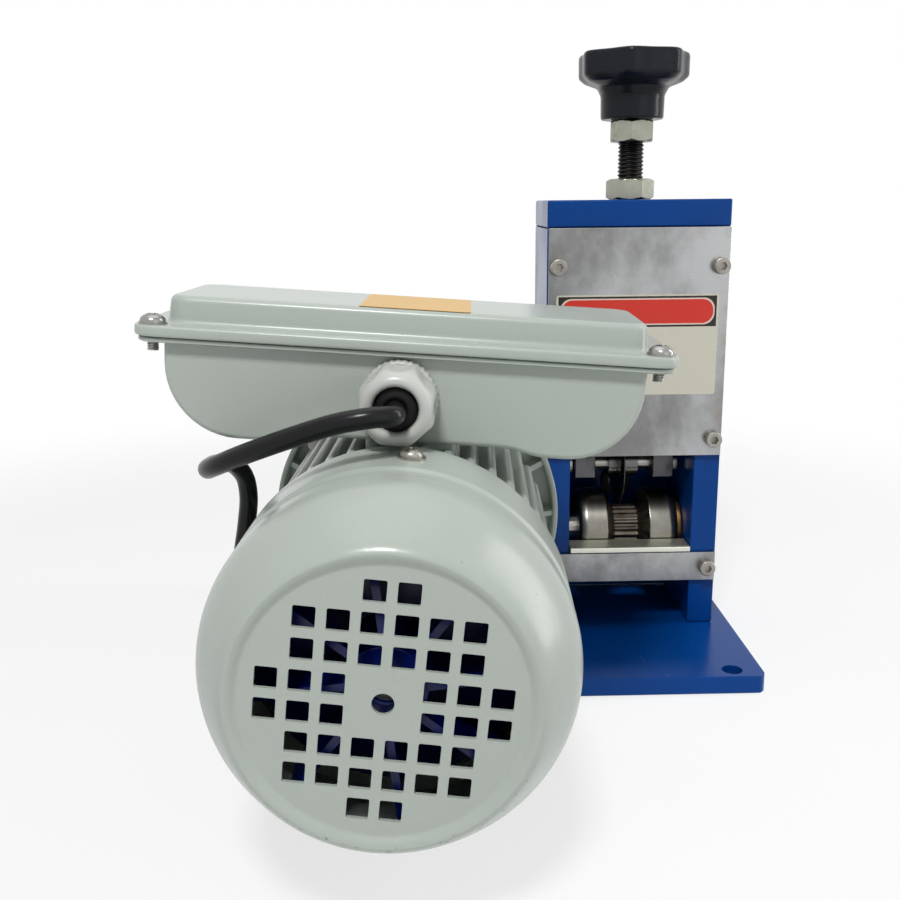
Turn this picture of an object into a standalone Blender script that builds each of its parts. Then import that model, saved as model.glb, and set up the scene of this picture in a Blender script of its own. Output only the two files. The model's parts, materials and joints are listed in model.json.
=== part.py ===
"""Bench wire stripping machine: blue stripping head on a base plate, worm gear unit and capacitor motor.

World frame: metres, +Z up. The origin lies on the table under the head's exit face, half way between
its two side plates. +X is to the right seen from the exit side, +Y runs from the exit to the infeed side.
"""
from math import ceil, cos, pi, radians, sin, sqrt, tau

import bmesh
import bpy
from mathutils import Matrix, Vector

MM = 0.001

# common clearances and finish
GAP = 0.3 * MM                 # running or seating gap between neighbouring pieces
OVERRUN = 2.0 * MM             # how far a cutter passes the face that it cuts
WELD = 0.002 * MM              # vertices closer than this are one
EDGE_BREAK = 0.5 * MM          # small bevel on machined plates
ROUND_STEPS = 32               # sides of a large turned piece that shows
HIDDEN_STEPS = 20              # sides of a large turned piece inside the machine
SMALL_STEPS = 16               # sides of a small turned piece
BORE_CLEARANCE = 0.3 * MM      # radial clearance of a bore round its shaft or screw

# base plate
BASE_THICK = 8.0 * MM
BASE_FRONT = 60.0 * MM         # reach in front of the head's exit face
BASE_BACK = 60.0 * MM          # reach behind the head's infeed face
BASE_RIGHT = 8.5 * MM          # reach past the head's right side
BASE_LEFT = 99.0 * MM          # reach past the head's left side, under the gear unit
BASE_CORNER = 5.0 * MM
BASE_HOLE_DIA = 9.0 * MM
BASE_HOLE_SIDE = 13.5 * MM     # hole centre from the short edges
BASE_HOLE_END = 7.0 * MM       # hole centre from the long edges

# stripping head
HEAD_WIDTH = 82.0 * MM
HEAD_DEPTH = 52.0 * MM
HEAD_HEIGHT = 200.0 * MM       # above the base plate
SIDE_THICK = 12.0 * MM
TOP_THICK = 12.0 * MM
SHEET_THICK = 2.0 * MM         # cover plate, strip and infeed plate
SHEET_SIDE_MARGIN = 0.5 * MM
COVER_HEIGHT = 104.0 * MM
STRIP_HEIGHT = 14.0 * MM
STRIP_RISE = 22.5 * MM         # strip's lower edge above the base plate
SCREW_SIDE = 4.7 * MM          # screw centre from the head's side
COVER_SCREW_TOP = 17.0 * MM    # below the cover's top edge
COVER_SCREW_BOTTOM = 8.0 * MM  # above the cover's bottom edge
INFEED_HOLE_DIA = 16.0 * MM
INFEED_HOLE_RISE = 7.0 * MM    # hole centre above the roller's groove floor
INFEED_SCREW_DROP = 74.0 * MM  # below the plate's top edge

# socket head screws of the head (M4)
CAP_HEAD_DIA = 7.4 * MM
CAP_HEAD_HIGH = 4.0 * MM
CAP_SHANK_DIA = 4.0 * MM
CAP_SHANK_LONG = 9.0 * MM
CAP_SOCKET_AF = 3.4 * MM
CAP_SOCKET_DEEP = 2.0 * MM
SCREW_STEPS = 12

# feed roller and its shaft
DRIVE_HEIGHT = 40.0 * MM       # roller axis above the base plate
DRIVE_DEPTH = 31.0 * MM        # roller axis behind the exit face
ROLLER_RADIUS = 19.5 * MM
ROLLER_LENGTH = 48.0 * MM
ROLLER_SHIFT = 2.0 * MM        # roller's middle to the right of the head's middle
GROOVE_WIDTH = 20.0 * MM
GROOVE_FLOOR_WIDTH = 12.0 * MM
GROOVE_RADIUS = 11.0 * MM      # at the groove's floor
GROOVE_TEETH = 20
TOOTH_DEPTH = 0.9 * MM
ROLLER_SHAFT_RADIUS = 7.5 * MM
BUSH_RADIUS = 12.0 * MM
BUSH_FLANGE_RADIUS = 15.0 * MM
BUSH_FLANGE_THICK = 2.0 * MM

# exit tray, bent from one sheet
TRAY_THICK = 2.5 * MM
TRAY_SIDE_CLEARANCE = 0.5 * MM
TRAY_ROLLER_GAP = 0.8 * MM
TRAY_LEG = 13.0 * MM

# blade and its carriage
BLADE_DEPTH = 29.0 * MM        # blade axis behind the exit face
BLADE_RADIUS = 22.0 * MM
BLADE_THICK = 2.4 * MM
BLADE_EDGE = 0.3 * MM          # land left at the cutting edge
BLADE_BEVEL = 4.5 * MM
BLADE_SHIFT = -2.0 * MM        # blade's middle from the head's middle
BLADE_FLOOR_GAP = 1.0 * MM     # blade to groove floor at the lowest setting
BLADE_HUB_RADIUS = 7.0 * MM
BLADE_HUB_LEFT = 5.0 * MM
BLADE_HUB_RIGHT = 9.4 * MM
AXLE_RADIUS = 3.5 * MM
CARRIAGE_CLEARANCE = 0.6 * MM
CARRIAGE_BLOCK = 46.0 * MM     # height of the block
CARRIAGE_RISE = 22.0 * MM      # block's underside above the blade's axis
CARRIAGE_MARGIN = 3.0 * MM     # block to the head's faces
LEG_INNER = 14.0 * MM          # half the space between the legs
LEG_THICK = 10.0 * MM
LEG_DEPTH = 19.0 * MM
LEG_BELOW_AXIS = 6.0 * MM
LEG_MERGE = 3.0 * MM           # legs run this far up into the block

# adjusting screw (M12), nuts and knob
ROD_RADIUS = 6.0 * MM
COLLAR_RADIUS = 9.2 * MM
COLLAR_THICK = 7.0 * MM
SLOT_NECK = 9.0 * MM           # height of the slot's narrow part
KNOB_RISE = 35.3 * MM          # knob's underside above the head
KNOB_HEIGHT = 28.9 * MM
KNOB_RADIUS = 25.6 * MM
KNOB_RIM_HEIGHT = 15.0 * MM
KNOB_HUB_RADIUS = 14.2 * MM
KNOB_LOBES = 7
KNOB_LOBE_STEPS = 6
KNOB_LOBE_DEPTH = 2.6 * MM
KNOB_ROUNDING = 3.0 * MM
ROD_IN_KNOB = 19.0 * MM
NUT_AF = 19.0 * MM
KNOB_NUT_HIGH = 9.4 * MM
LOCK_NUT_HIGH = 9.0 * MM
NUT_CHAMFER = 1.0 * MM

# gear motor unit: stands slightly turned on the base, about the middle of its coupling
UNIT_TURN = radians(2.5)
MOTOR_ROLL = radians(4.0)      # terminal box leans to the right
FAN_COVER_ROLL = radians(5.9)
COUPLING_REACH = 14.0 * MM     # coupling's middle from the head's left face
GEAR_REACH = 42.0 * MM         # gear unit's middle from the coupling's middle
CENTRE_DISTANCE = 30.0 * MM    # worm axis above the wheel axis

HOUSING_WIDTH = 56.0 * MM
HOUSING_LENGTH = 80.0 * MM
HOUSING_ABOVE_WORM = 27.0 * MM
HOUSING_ROUNDING = 6.0 * MM
HOUSING_WALL = 6.0 * MM
WHEEL_CAVITY_RADIUS = 24.0 * MM
WORM_CAVITY_RADIUS = 13.0 * MM
WORM_CAVITY_FAR = 30.0 * MM
GEAR_COVER_RADIUS = 30.0 * MM
GEAR_COVER_THICK = 6.5 * MM
GEAR_SPIGOT = 3.0 * MM

OUTPUT_SHAFT_RADIUS = 7.0 * MM
OUTPUT_SHAFT_OUT = 3.0 * MM    # past the side cover
COUPLING_RADIUS = 13.5 * MM
COUPLING_LENGTH = 13.0 * MM
COUPLING_PAST = 1.0 * MM       # hub's end past the coupling's middle
SLOT_WIDTH = 7.0 * MM
SLOT_DEPTH = 7.5 * MM
TONGUE_THICK = 5.0 * MM
TONGUE_IN_SLOT = 6.0 * MM
COUPLING_SPACE = 2.0 * MM      # hub's end to the roller shaft's shoulder

WHEEL_RADIUS = 20.3 * MM
WHEEL_WIDTH = 16.0 * MM
WHEEL_TEETH = 30
WHEEL_TOOTH_DEPTH = 2.0 * MM
WORM_RADIUS = 9.0 * MM
WORM_LENGTH = 36.0 * MM
WORM_SHAFT_RADIUS = 5.0 * MM
WORM_SHAFT_FAR = 24.0 * MM

ADAPTER_SMALL_RADIUS = 30.0 * MM
ADAPTER_NECK_RADIUS = 26.0 * MM
ADAPTER_LARGE_RADIUS = 52.0 * MM
ADAPTER_FLANGE = 7.0 * MM
ADAPTER_LENGTH = 23.4 * MM
ADAPTER_BORE_RADIUS = 12.0 * MM

# motor; stations are measured from the mounting face towards the fan end
FLANGE_RADIUS = 60.0 * MM
FLANGE_RIM = 2.4 * MM
FLANGE_THICK = 12.0 * MM
FLANGE_WEB = 5.0 * MM
BELL_RADIUS = 47.0 * MM
BELL_WALL = 3.5 * MM
SHIELD_HUB_RADIUS = 15.0 * MM
SHIELD_HUB_LONG = 20.0 * MM
FRAME_START = 25.0 * MM        # mounting face to the finned frame
FRAME_LENGTH = 92.0 * MM
FRAME_RADIUS = 47.5 * MM
FRAME_WALL = 6.5 * MM
FIN_HIGH = 5.5 * MM
FIN_COUNT = 40
FIN_SHARES = (0.30, 0.70)      # tooth between these shares of its pitch
STATOR_END = 4.0 * MM          # winding to the frame's end
STATOR_BORE_RADIUS = 24.6 * MM
WINDING_LONG = 11.0 * MM
WINDING_SPACE = 4.0 * MM       # winding to the frame's bore
ROTOR_SHORTER = 2.0 * MM       # than the stator's core
MOTOR_SHAFT_RADIUS = 7.0 * MM
REAR_SHAFT_RADIUS = 5.0 * MM
SHAFT_SPACE = 2.0 * MM         # shaft's shoulders and end to the faces beside them
REAR_RIM_THICK = 4.4 * MM
REAR_RIM_RADIUS = 54.8 * MM
REAR_SPIGOT = 3.0 * MM
REAR_REGISTER = 18.0 * MM      # length of the seat inside the fan cover
REAR_REGISTER_WALL = 6.0 * MM
REAR_HUB_LONG = 14.0 * MM

# cooling fan and fan cover
COVER_LENGTH = 63.0 * MM
COVER_RADIUS = 55.5 * MM
COVER_WALL = 1.2 * MM
COVER_RIM_OUT = 1.8 * MM       # rim stands proud of the grille
COVER_RIM_RADIUS = 42.8 * MM
COVER_STEP_DEPTH = 0.9 * MM
GRILLE_RADIUS = 38.9 * MM
GRILLE_PITCH = 9.05 * MM
GRILLE_HOLE = 6.2 * MM
GRILLE_CENTRE_HOLE_DIA = 6.2 * MM
GRILLE_ROWS = (2, 6, 6, 6, 6, 6, 6, 2)
GRILLE_MIDDLE_ROWS = (3, 4)    # rows whose two middle squares give way to the centre hole
FAN_RADIUS = 46.0 * MM
FAN_HUB_RADIUS = 12.0 * MM
FAN_BLADES = 8
FAN_BLADE_THICK = 2.4 * MM
FAN_START = 10.0 * MM          # behind the grille
FAN_LENGTH = 24.0 * MM
COVER_SCREW_BACK = 13.0 * MM    # screw before the cover's rear edge
COVER_SCREW_HEAD_DIA = 7.0 * MM
COVER_SCREW_HEAD_HIGH = 2.6 * MM
COVER_SCREW_SHANK_DIA = 4.0 * MM
COVER_SCREW_DEEP = 3.0 * MM

# terminal and capacitor box, drawn from sheet, with its lid
BOX_NEAR = 76.0 * MM           # near wall behind the grille
BOX_DEPTH = 58.0 * MM
BOX_SHIFT = -3.0 * MM          # box middle to the left of the motor's axis
BOX_HALF = 77.5 * MM
BOX_OVER_FINS = 0.8 * MM       # underside of the middle, above the fins
BOX_LOBE_DROP = 2.5 * MM
BOX_LOBE_RADIUS = 24.0 * MM
BOX_LOBE_WIDTH = 40.5 * MM     # from the box's end
BOX_HIGH = 29.6 * MM
BOX_WALL = 1.6 * MM
BOX_CORNER_STEPS = 4
LID_PAST_END = 9.9 * MM        # lid past the box's end
LID_PAST_WALL = 4.5 * MM       # lid past the box's long walls
LID_CORNER = 8.0 * MM
LID_FLANGE = 3.6 * MM
BOX_FLANGE_THICK = 1.6 * MM
BOX_FLANGE_MARGIN = 1.2 * MM
PAN_END_MARGIN = 9.2 * MM      # lid's end to its raised pan
PAN_WALL_MARGIN = 8.0 * MM     # lid's long edge to its raised pan
PAN_CORNER = 7.0 * MM
PAN_STEP = 1.0 * MM
PAN_RISE = 9.2 * MM
PAN_DRAFT = 1.8 * MM
LID_WALL = 1.6 * MM
LID_SCREW_SIDE = 6.2 * MM      # screw centre from the lid's edges
LID_SCREW_HEAD_DIA = 8.2 * MM
LID_SCREW_HEAD_HIGH = 3.0 * MM
LID_SCREW_SHANK_DIA = 4.0 * MM
LID_SCREW_OUT = 3.0 * MM       # past the box flange
PAD_INSET = 12.0 * MM          # pad from the frame's rear end
PAD_ROOT = 2.0 * MM            # pad runs this far into the frame
PAD_HALF = 15.0 * MM           # half the width of the motor's pad under the box
CAPACITOR_RADIUS = 14.5 * MM
CAPACITOR_SPACE = 2.4 * MM     # capacitor's end to the box's wall
CAPACITOR_END = 22.5 * MM      # capacitor's axis from the box's end

# cable gland and cord
GLAND_SHIFT = -1.0 * MM        # from the box's middle
GLAND_RISE = 14.9 * MM         # above the box's floor
GLAND_THREAD_RADIUS = 10.0 * MM
GLAND_COLLAR_RADIUS = 12.6 * MM
GLAND_COLLAR_LONG = 5.0 * MM
GLAND_SLEEVE_LONG = 12.0 * MM
GLAND_INSIDE_LONG = 6.0 * MM
GLAND_BODY_BORE = 7.6 * MM
GLAND_NUT_RADIUS = 12.6 * MM
GLAND_NUT_LONG = 12.5 * MM
GLAND_NUT_LOBES = 8
GLAND_NUT_LOBE_DEPTH = 1.2 * MM
GLAND_DOME_LONG = 5.0 * MM
GLAND_MOUTH_RADIUS = 7.0 * MM
GLAND_SEAL_LONG = 9.0 * MM
CORD_RADIUS = 3.2 * MM
CORD_SIDES = 2                 # bevel resolution of the free cord
CORD_LEAD = 8.0 * MM           # straight run at each end of the free cord
CORD_STEP = 2.6                # spacing of the cord's points, in cord diameters
COIL_LOOPS = 4
COIL_LAYERS = 2
COIL_INNER_RADIUS = 38.0 * MM
COIL_SPACE = 0.8 * MM          # free space between neighbouring turns
COIL_STEPS = 24
COIL_TAIL = 40.0 * MM           # from the loops to the plug
COIL_CENTRE = Vector((-105.0 * MM, 176.0 * MM, 0.0))
PLUG_LENGTH = 34.0 * MM
PLUG_WIDTH = 35.0 * MM
PLUG_HEIGHT = 14.0 * MM
PLUG_NECK_LENGTH = 14.0 * MM
PLUG_NECK_RADIUS = 5.0 * MM
PIN_RADIUS = 2.0 * MM
PIN_LENGTH = 19.0 * MM
PIN_SEAT = 6.0 * MM
PIN_SPACING = 19.0 * MM

# rocker switch in the far wall of the box
SWITCH_WIDTH = 24.0 * MM
SWITCH_HEIGHT = 19.0 * MM
SWITCH_BEZEL = 2.0 * MM
SWITCH_DEEP = 12.0 * MM
SWITCH_RIM = 2.0 * MM
SWITCH_SIDE = 9.5 * MM         # switch barrel to the capacitor beside it
ROCKER_CLEARANCE = 0.7 * MM
ROCKER_PROUD = 2.4 * MM
ROCKER_RADIUS = 4.0 * MM
ROCKER_DISH = 1.2 * MM
ROCKER_TILT = radians(8.0)     # rest position: off

# shares of the sizes that they follow
COVER_STATION_SHARES = ((0.0, 0.0), (0.05, 0.17), (0.20, 0.71), (0.28, 0.91), (0.37, 1.0))
COVER_STEP_SHARES = ((0.48, 0.0), (0.50, 1.0), (0.59, 1.0), (0.61, 0.0))
PAN_FLANK_SHARE = 0.4
TAIL_LEVEL_SHARE = 0.38
PAN_TOP_SHARE = 0.6
KNOB_FLUTE_POWER_SHARE = 0.8
ROCKER_NECK_SHARE = 0.6
# width, height and place of the plug's sections
PLUG_BODY_SHARES = ((0.55, 0.8, 0.12), (1.0, 1.0, 0.45), (1.0, 1.0, 0.92), (0.9, 0.85, 1.0))

# the free cord's route between its lead at the gland and its lead at the coil
CORD_ROUTE = (
    (-0.1115, -0.1732, 0.1469), (-0.1210, -0.1733, 0.1454), (-0.1349, -0.1702, 0.1408),
    (-0.1501, -0.1640, 0.1345), (-0.1608, -0.1561, 0.1290), (-0.1653, -0.1464, 0.1256),
    (-0.1649, -0.1364, 0.1246), (-0.1615, -0.1270, 0.1225), (-0.1585, -0.1211, 0.1165),
    (-0.1579, -0.1187, 0.1085), (-0.1594, -0.1171, 0.0980), (-0.1620, -0.1155, 0.0840),
    (-0.1633, -0.1114, 0.0640), (-0.1615, -0.1045, 0.0420), (-0.1586, -0.0946, 0.0220),
    (-0.1555, -0.0817, 0.0100), (-0.1515, -0.0600, 0.0055), (-0.1505, -0.0300, 0.0038),
    (-0.1500, 0.0200, 0.0036), (-0.1500, 0.0600, 0.0036), (-0.1525, 0.1050, 0.0036),
)

# levels that follow from the sizes
BASE_TOP = BASE_THICK
HEAD_TOP = BASE_TOP + HEAD_HEIGHT
COVER_TOP = HEAD_TOP - TOP_THICK
HALF_HEAD = HEAD_WIDTH / 2
HALF_INSIDE = HALF_HEAD - SIDE_THICK
HALF_SHEET = HALF_HEAD - SHEET_SIDE_MARGIN
SCREW_X = HALF_HEAD - SCREW_SIDE
DRIVE_Z = BASE_TOP + DRIVE_HEIGHT
ROD_Y = HEAD_DEPTH / 2
BLADE_Z = DRIVE_Z + GROOVE_RADIUS + BLADE_FLOOR_GAP + BLADE_RADIUS
STRIP_BOTTOM = BASE_TOP + STRIP_RISE
STRIP_TOP = STRIP_BOTTOM + STRIP_HEIGHT
CARRIAGE_BOTTOM = BLADE_Z + CARRIAGE_RISE
CARRIAGE_TOP = CARRIAGE_BOTTOM + CARRIAGE_BLOCK
KNOB_BOTTOM = HEAD_TOP + KNOB_RISE
INFEED_HOLE_Z = DRIVE_Z + GROOVE_RADIUS + INFEED_HOLE_RISE
INFEED_BOTTOM = BASE_TOP + GAP
COUPLING_X = -HALF_HEAD - COUPLING_REACH
MOUNT_FACE = HOUSING_LENGTH / 2 + ADAPTER_LENGTH + 2 * GAP      # gear axis to the motor's mounting face
REAR_FACE = FRAME_START + FRAME_LENGTH + GAP                    # rear shield, from the mounting face
GRILLE = REAR_FACE + REAR_RIM_THICK + GAP + COVER_LENGTH         # grille, from the mounting face
FRAME_BORE_RADIUS = FRAME_RADIUS - FRAME_WALL
FIN_TIP_RADIUS = FRAME_RADIUS + FIN_HIGH
WINDING_RADIUS = FRAME_BORE_RADIUS - WINDING_SPACE
BOX_FLOOR = FIN_TIP_RADIUS + BOX_OVER_FINS
BOX_TOP = BOX_FLOOR + BOX_HIGH
STATOR_CORE = FRAME_LENGTH - 2 * (WINDING_LONG + STATOR_END)
ROTOR_LENGTH = STATOR_CORE - ROTOR_SHORTER
LID_HALF_WIDTH = BOX_HALF + LID_PAST_END
LID_HALF_DEPTH = BOX_DEPTH / 2 + LID_PAST_WALL
PAN_HALF_WIDTH = LID_HALF_WIDTH - PAN_END_MARGIN
PAN_HALF_DEPTH = LID_HALF_DEPTH - PAN_WALL_MARGIN
BOX_LOBE_INNER = BOX_HALF - BOX_LOBE_WIDTH
CAPACITOR_OUT = BOX_HALF - CAPACITOR_END
CAPACITOR_LENGTH = BOX_DEPTH - 2 * (BOX_WALL + CAPACITOR_SPACE)
SWITCH_SHIFT = CAPACITOR_OUT - CAPACITOR_RADIUS - SWITCH_SIDE - (SWITCH_WIDTH / 2 - SWITCH_RIM)


def material(name, colour, roughness, metallic=0.0):
    mat = bpy.data.materials.new(name)
    mat.use_nodes = True
    shader = mat.node_tree.nodes["Principled BSDF"]
    shader.inputs["Base Color"].default_value = (*colour, 1.0)
    shader.inputs["Roughness"].default_value = roughness
    shader.inputs["Metallic"].default_value = metallic
    mat.diffuse_color = (*colour, 1.0)
    return mat


def empty(name, location, rotation=(0.0, 0.0, 0.0), parent=None):
    obj = bpy.data.objects.new(name, None)
    obj.location = location
    obj.rotation_euler = rotation
    obj.parent = parent
    bpy.context.scene.collection.objects.link(obj)
    return obj


def solid(name, bm, mat, location=(0.0, 0.0, 0.0), parent=None, smooth=True):
    """Weld, orient and link one closed mesh."""
    bmesh.ops.remove_doubles(bm, verts=bm.verts[:], dist=WELD)
    bmesh.ops.recalc_face_normals(bm, faces=bm.faces[:])
    mesh = bpy.data.meshes.new(name)
    bm.to_mesh(mesh)
    bm.free()
    if mat:
        mesh.materials.append(mat)
    if smooth:
        mesh.shade_smooth()
        mesh.set_sharp_from_angle(angle=radians(35))
    obj = bpy.data.objects.new(name, mesh)
    obj.location = location
    obj.parent = parent
    bpy.context.scene.collection.objects.link(obj)
    return obj


def remap(bm, order):
    """Send the drawing axes (u, v, depth) to the world axes named in order, for instance XZY."""
    places = ["XYZ".index(letter) for letter in order]
    for vert in bm.verts:
        co = [0.0, 0.0, 0.0]
        for value, place in zip(vert.co, places):
            co[place] = value
        vert.co = co
    return bm


def shift(bm, x=0.0, y=0.0, z=0.0):
    bmesh.ops.translate(bm, verts=bm.verts[:], vec=(x, y, z))
    return bm


def circle(radius, steps, cu=0.0, cv=0.0):
    return [(cu + radius * cos(tau * i / steps), cv + radius * sin(tau * i / steps)) for i in range(steps)]


def rounded(half_u, half_v, radius, steps=4, cu=0.0, cv=0.0):
    """Rectangle with round corners, as a loop of points."""
    points = []
    for turn, (su, sv) in enumerate(((1, 1), (-1, 1), (-1, -1), (1, -1))):
        mu = cu + su * (half_u - radius)
        mv = cv + sv * (half_v - radius)
        for i in range(steps + 1):
            angle = (turn + i / steps) * pi / 2
            points.append((mu + radius * cos(angle), mv + radius * sin(angle)))
    return points


def rectangle(u0, u1, v0, v1):
    return [(u0, v0), (u1, v0), (u1, v1), (u0, v1)]


def plate(outline, depth, holes=()):
    """Flat outline with holes, in the XY plane, extruded along +Z."""
    bm = bmesh.new()
    for loop in (outline, *holes):
        verts = [bm.verts.new((u, v, 0.0)) for u, v in loop]
        if not holes:
            bm.faces.new(verts)
            break
        for a, b in zip(verts, verts[1:] + verts[:1]):
            bm.edges.new((a, b))
    if holes:
        bmesh.ops.triangle_fill(bm, use_beauty=True, use_dissolve=False, edges=bm.edges[:])
    grown = bmesh.ops.extrude_face_region(bm, geom=bm.faces[:])
    moved = [item for item in grown["geom"] if isinstance(item, bmesh.types.BMVert)]
    bmesh.ops.translate(bm, verts=moved, vec=(0.0, 0.0, depth))
    return bm


def turned(profile, steps):
    """Turn a profile of (radius, height) points about Z. One that starts and ends on the axis is capped."""
    bm = bmesh.new()
    verts = [bm.verts.new((r, 0.0, h)) for r, h in profile]
    edges = [bm.edges.new(pair) for pair in zip(verts, verts[1:])]
    if profile[0][0] > 0 or profile[-1][0] > 0:
        edges.append(bm.edges.new((verts[-1], verts[0])))
    bmesh.ops.spin(bm, geom=verts + edges, cent=(0, 0, 0), axis=(0, 0, 1), angle=tau, steps=steps,
                   use_merge=True)
    bmesh.ops.remove_doubles(bm, verts=bm.verts[:], dist=WELD)
    return bm


def lofted(rings, closed=False):
    """Skin a list of equally long rings of 3-D points; the ends are capped, or joined when closed."""
    bm = bmesh.new()
    loops = [[bm.verts.new(point) for point in ring] for ring in rings]
    count = len(loops[0])
    pairs = list(zip(loops, loops[1:]))
    if closed:
        pairs.append((loops[-1], loops[0]))
    for low, high in pairs:
        for i in range(count):
            j = (i + 1) % count
            bm.faces.new((low[i], low[j], high[j], high[i]))
    if not closed:
        bm.faces.new(loops[0])
        bm.faces.new(loops[-1])
    return bm


def box(x0, x1, y0, y1, z0, z1):
    return shift(plate(rectangle(x0, x1, y0, y1), z1 - z0), z=z0)


def cylinder(radius, start, end, steps=SMALL_STEPS):
    """Cylinder about Z from start to end."""
    return turned([(0.0, start), (radius, start), (radius, end), (0.0, end)], steps)


def merged(meshes):
    """Put several separate closed meshes into one cutter."""
    bm = bmesh.new()
    for part in meshes:
        mesh = bpy.data.meshes.new("piece")
        part.to_mesh(mesh)
        part.free()
        bm.from_mesh(mesh)
        bpy.data.meshes.remove(mesh)
    return bm


def combine(obj, bm, operation, label):
    """Cut a helper solid from obj, or join it on, with a Boolean modifier."""
    helper = solid(obj.name + "_" + label, bm, None, obj.location, obj.parent, smooth=False)
    helper.rotation_euler = obj.rotation_euler
    helper.hide_render = True
    helper.display_type = "WIRE"
    mod = obj.modifiers.new(label, "BOOLEAN")
    mod.operation = operation
    mod.solver = "EXACT"
    mod.object = helper
    return obj


def bevel(obj, width=EDGE_BREAK, segments=1):
    mod = obj.modifiers.new("edge", "BEVEL")
    mod.width = width
    mod.segments = segments
    mod.limit_method = "ANGLE"
    mod.angle_limit = radians(50)
    return obj


def hexagon_ring(across_flats, limit, height, steps):
    """Ring on a hexagon's outline, held inside a circle of radius limit."""
    ring = []
    for i in range(steps):
        angle = tau * i / steps
        off = (angle + pi / 6) % (pi / 3) - pi / 6
        r = min(across_flats / 2 / cos(off), limit)
        ring.append((r * cos(angle), r * sin(angle), height))
    return ring


def ring_at(radius, height, steps):
    return [(u, v, height) for u, v in circle(radius, steps)]


def cap_screw(name, mat, spot, facing, parent=None):
    """Socket head screw; facing -1 looks towards the exit side and +1 to the infeed side."""
    head, shank = CAP_HEAD_DIA / 2, CAP_SHANK_DIA / 2
    sizes = ((shank, -CAP_SHANK_LONG), (shank, 0.0), (head, 0.0), (head, CAP_HEAD_HIGH))
    rings = [ring_at(r, h, SCREW_STEPS) for r, h in sizes]
    rings.append(hexagon_ring(CAP_SOCKET_AF, CAP_SOCKET_AF, CAP_HEAD_HIGH, SCREW_STEPS))
    rings.append(hexagon_ring(CAP_SOCKET_AF, CAP_SOCKET_AF, CAP_HEAD_HIGH - CAP_SOCKET_DEEP, SCREW_STEPS))
    bm = remap(lofted(rings), "XZY")
    bmesh.ops.scale(bm, vec=(1.0, facing, 1.0), verts=bm.verts[:])
    return solid(name, bm, mat, spot, parent)


def pan_screw(name, mat, spot, head_dia, head_high, shank_dia, shank_long, parent):
    """Pan head screw along Z, head up, its seat at spot."""
    head, shank = head_dia / 2, shank_dia / 2
    profile = [(0.0, -shank_long), (shank, -shank_long), (shank, 0.0), (head, 0.0),
               (head, head_high * PAN_FLANK_SHARE), (head * PAN_TOP_SHARE, head_high), (0.0, head_high)]
    return solid(name, turned(profile, SCREW_STEPS), mat, spot, parent)


def nut(name, mat, bottom, high, spot):
    """Chamfered hexagon nut with a plain bore for the rod."""
    bore = ROD_RADIUS + BORE_CLEARANCE
    flat = NUT_AF / 2
    rings = [
        ring_at(bore, bottom, SMALL_STEPS),
        hexagon_ring(NUT_AF, flat, bottom, SMALL_STEPS),
        hexagon_ring(NUT_AF, NUT_AF, bottom + NUT_CHAMFER, SMALL_STEPS),
        hexagon_ring(NUT_AF, NUT_AF, bottom + high - NUT_CHAMFER, SMALL_STEPS),
        hexagon_ring(NUT_AF, flat, bottom + high, SMALL_STEPS),
        ring_at(bore, bottom + high, SMALL_STEPS),
    ]
    return solid(name, lofted(rings, closed=True), mat, spot)


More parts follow.
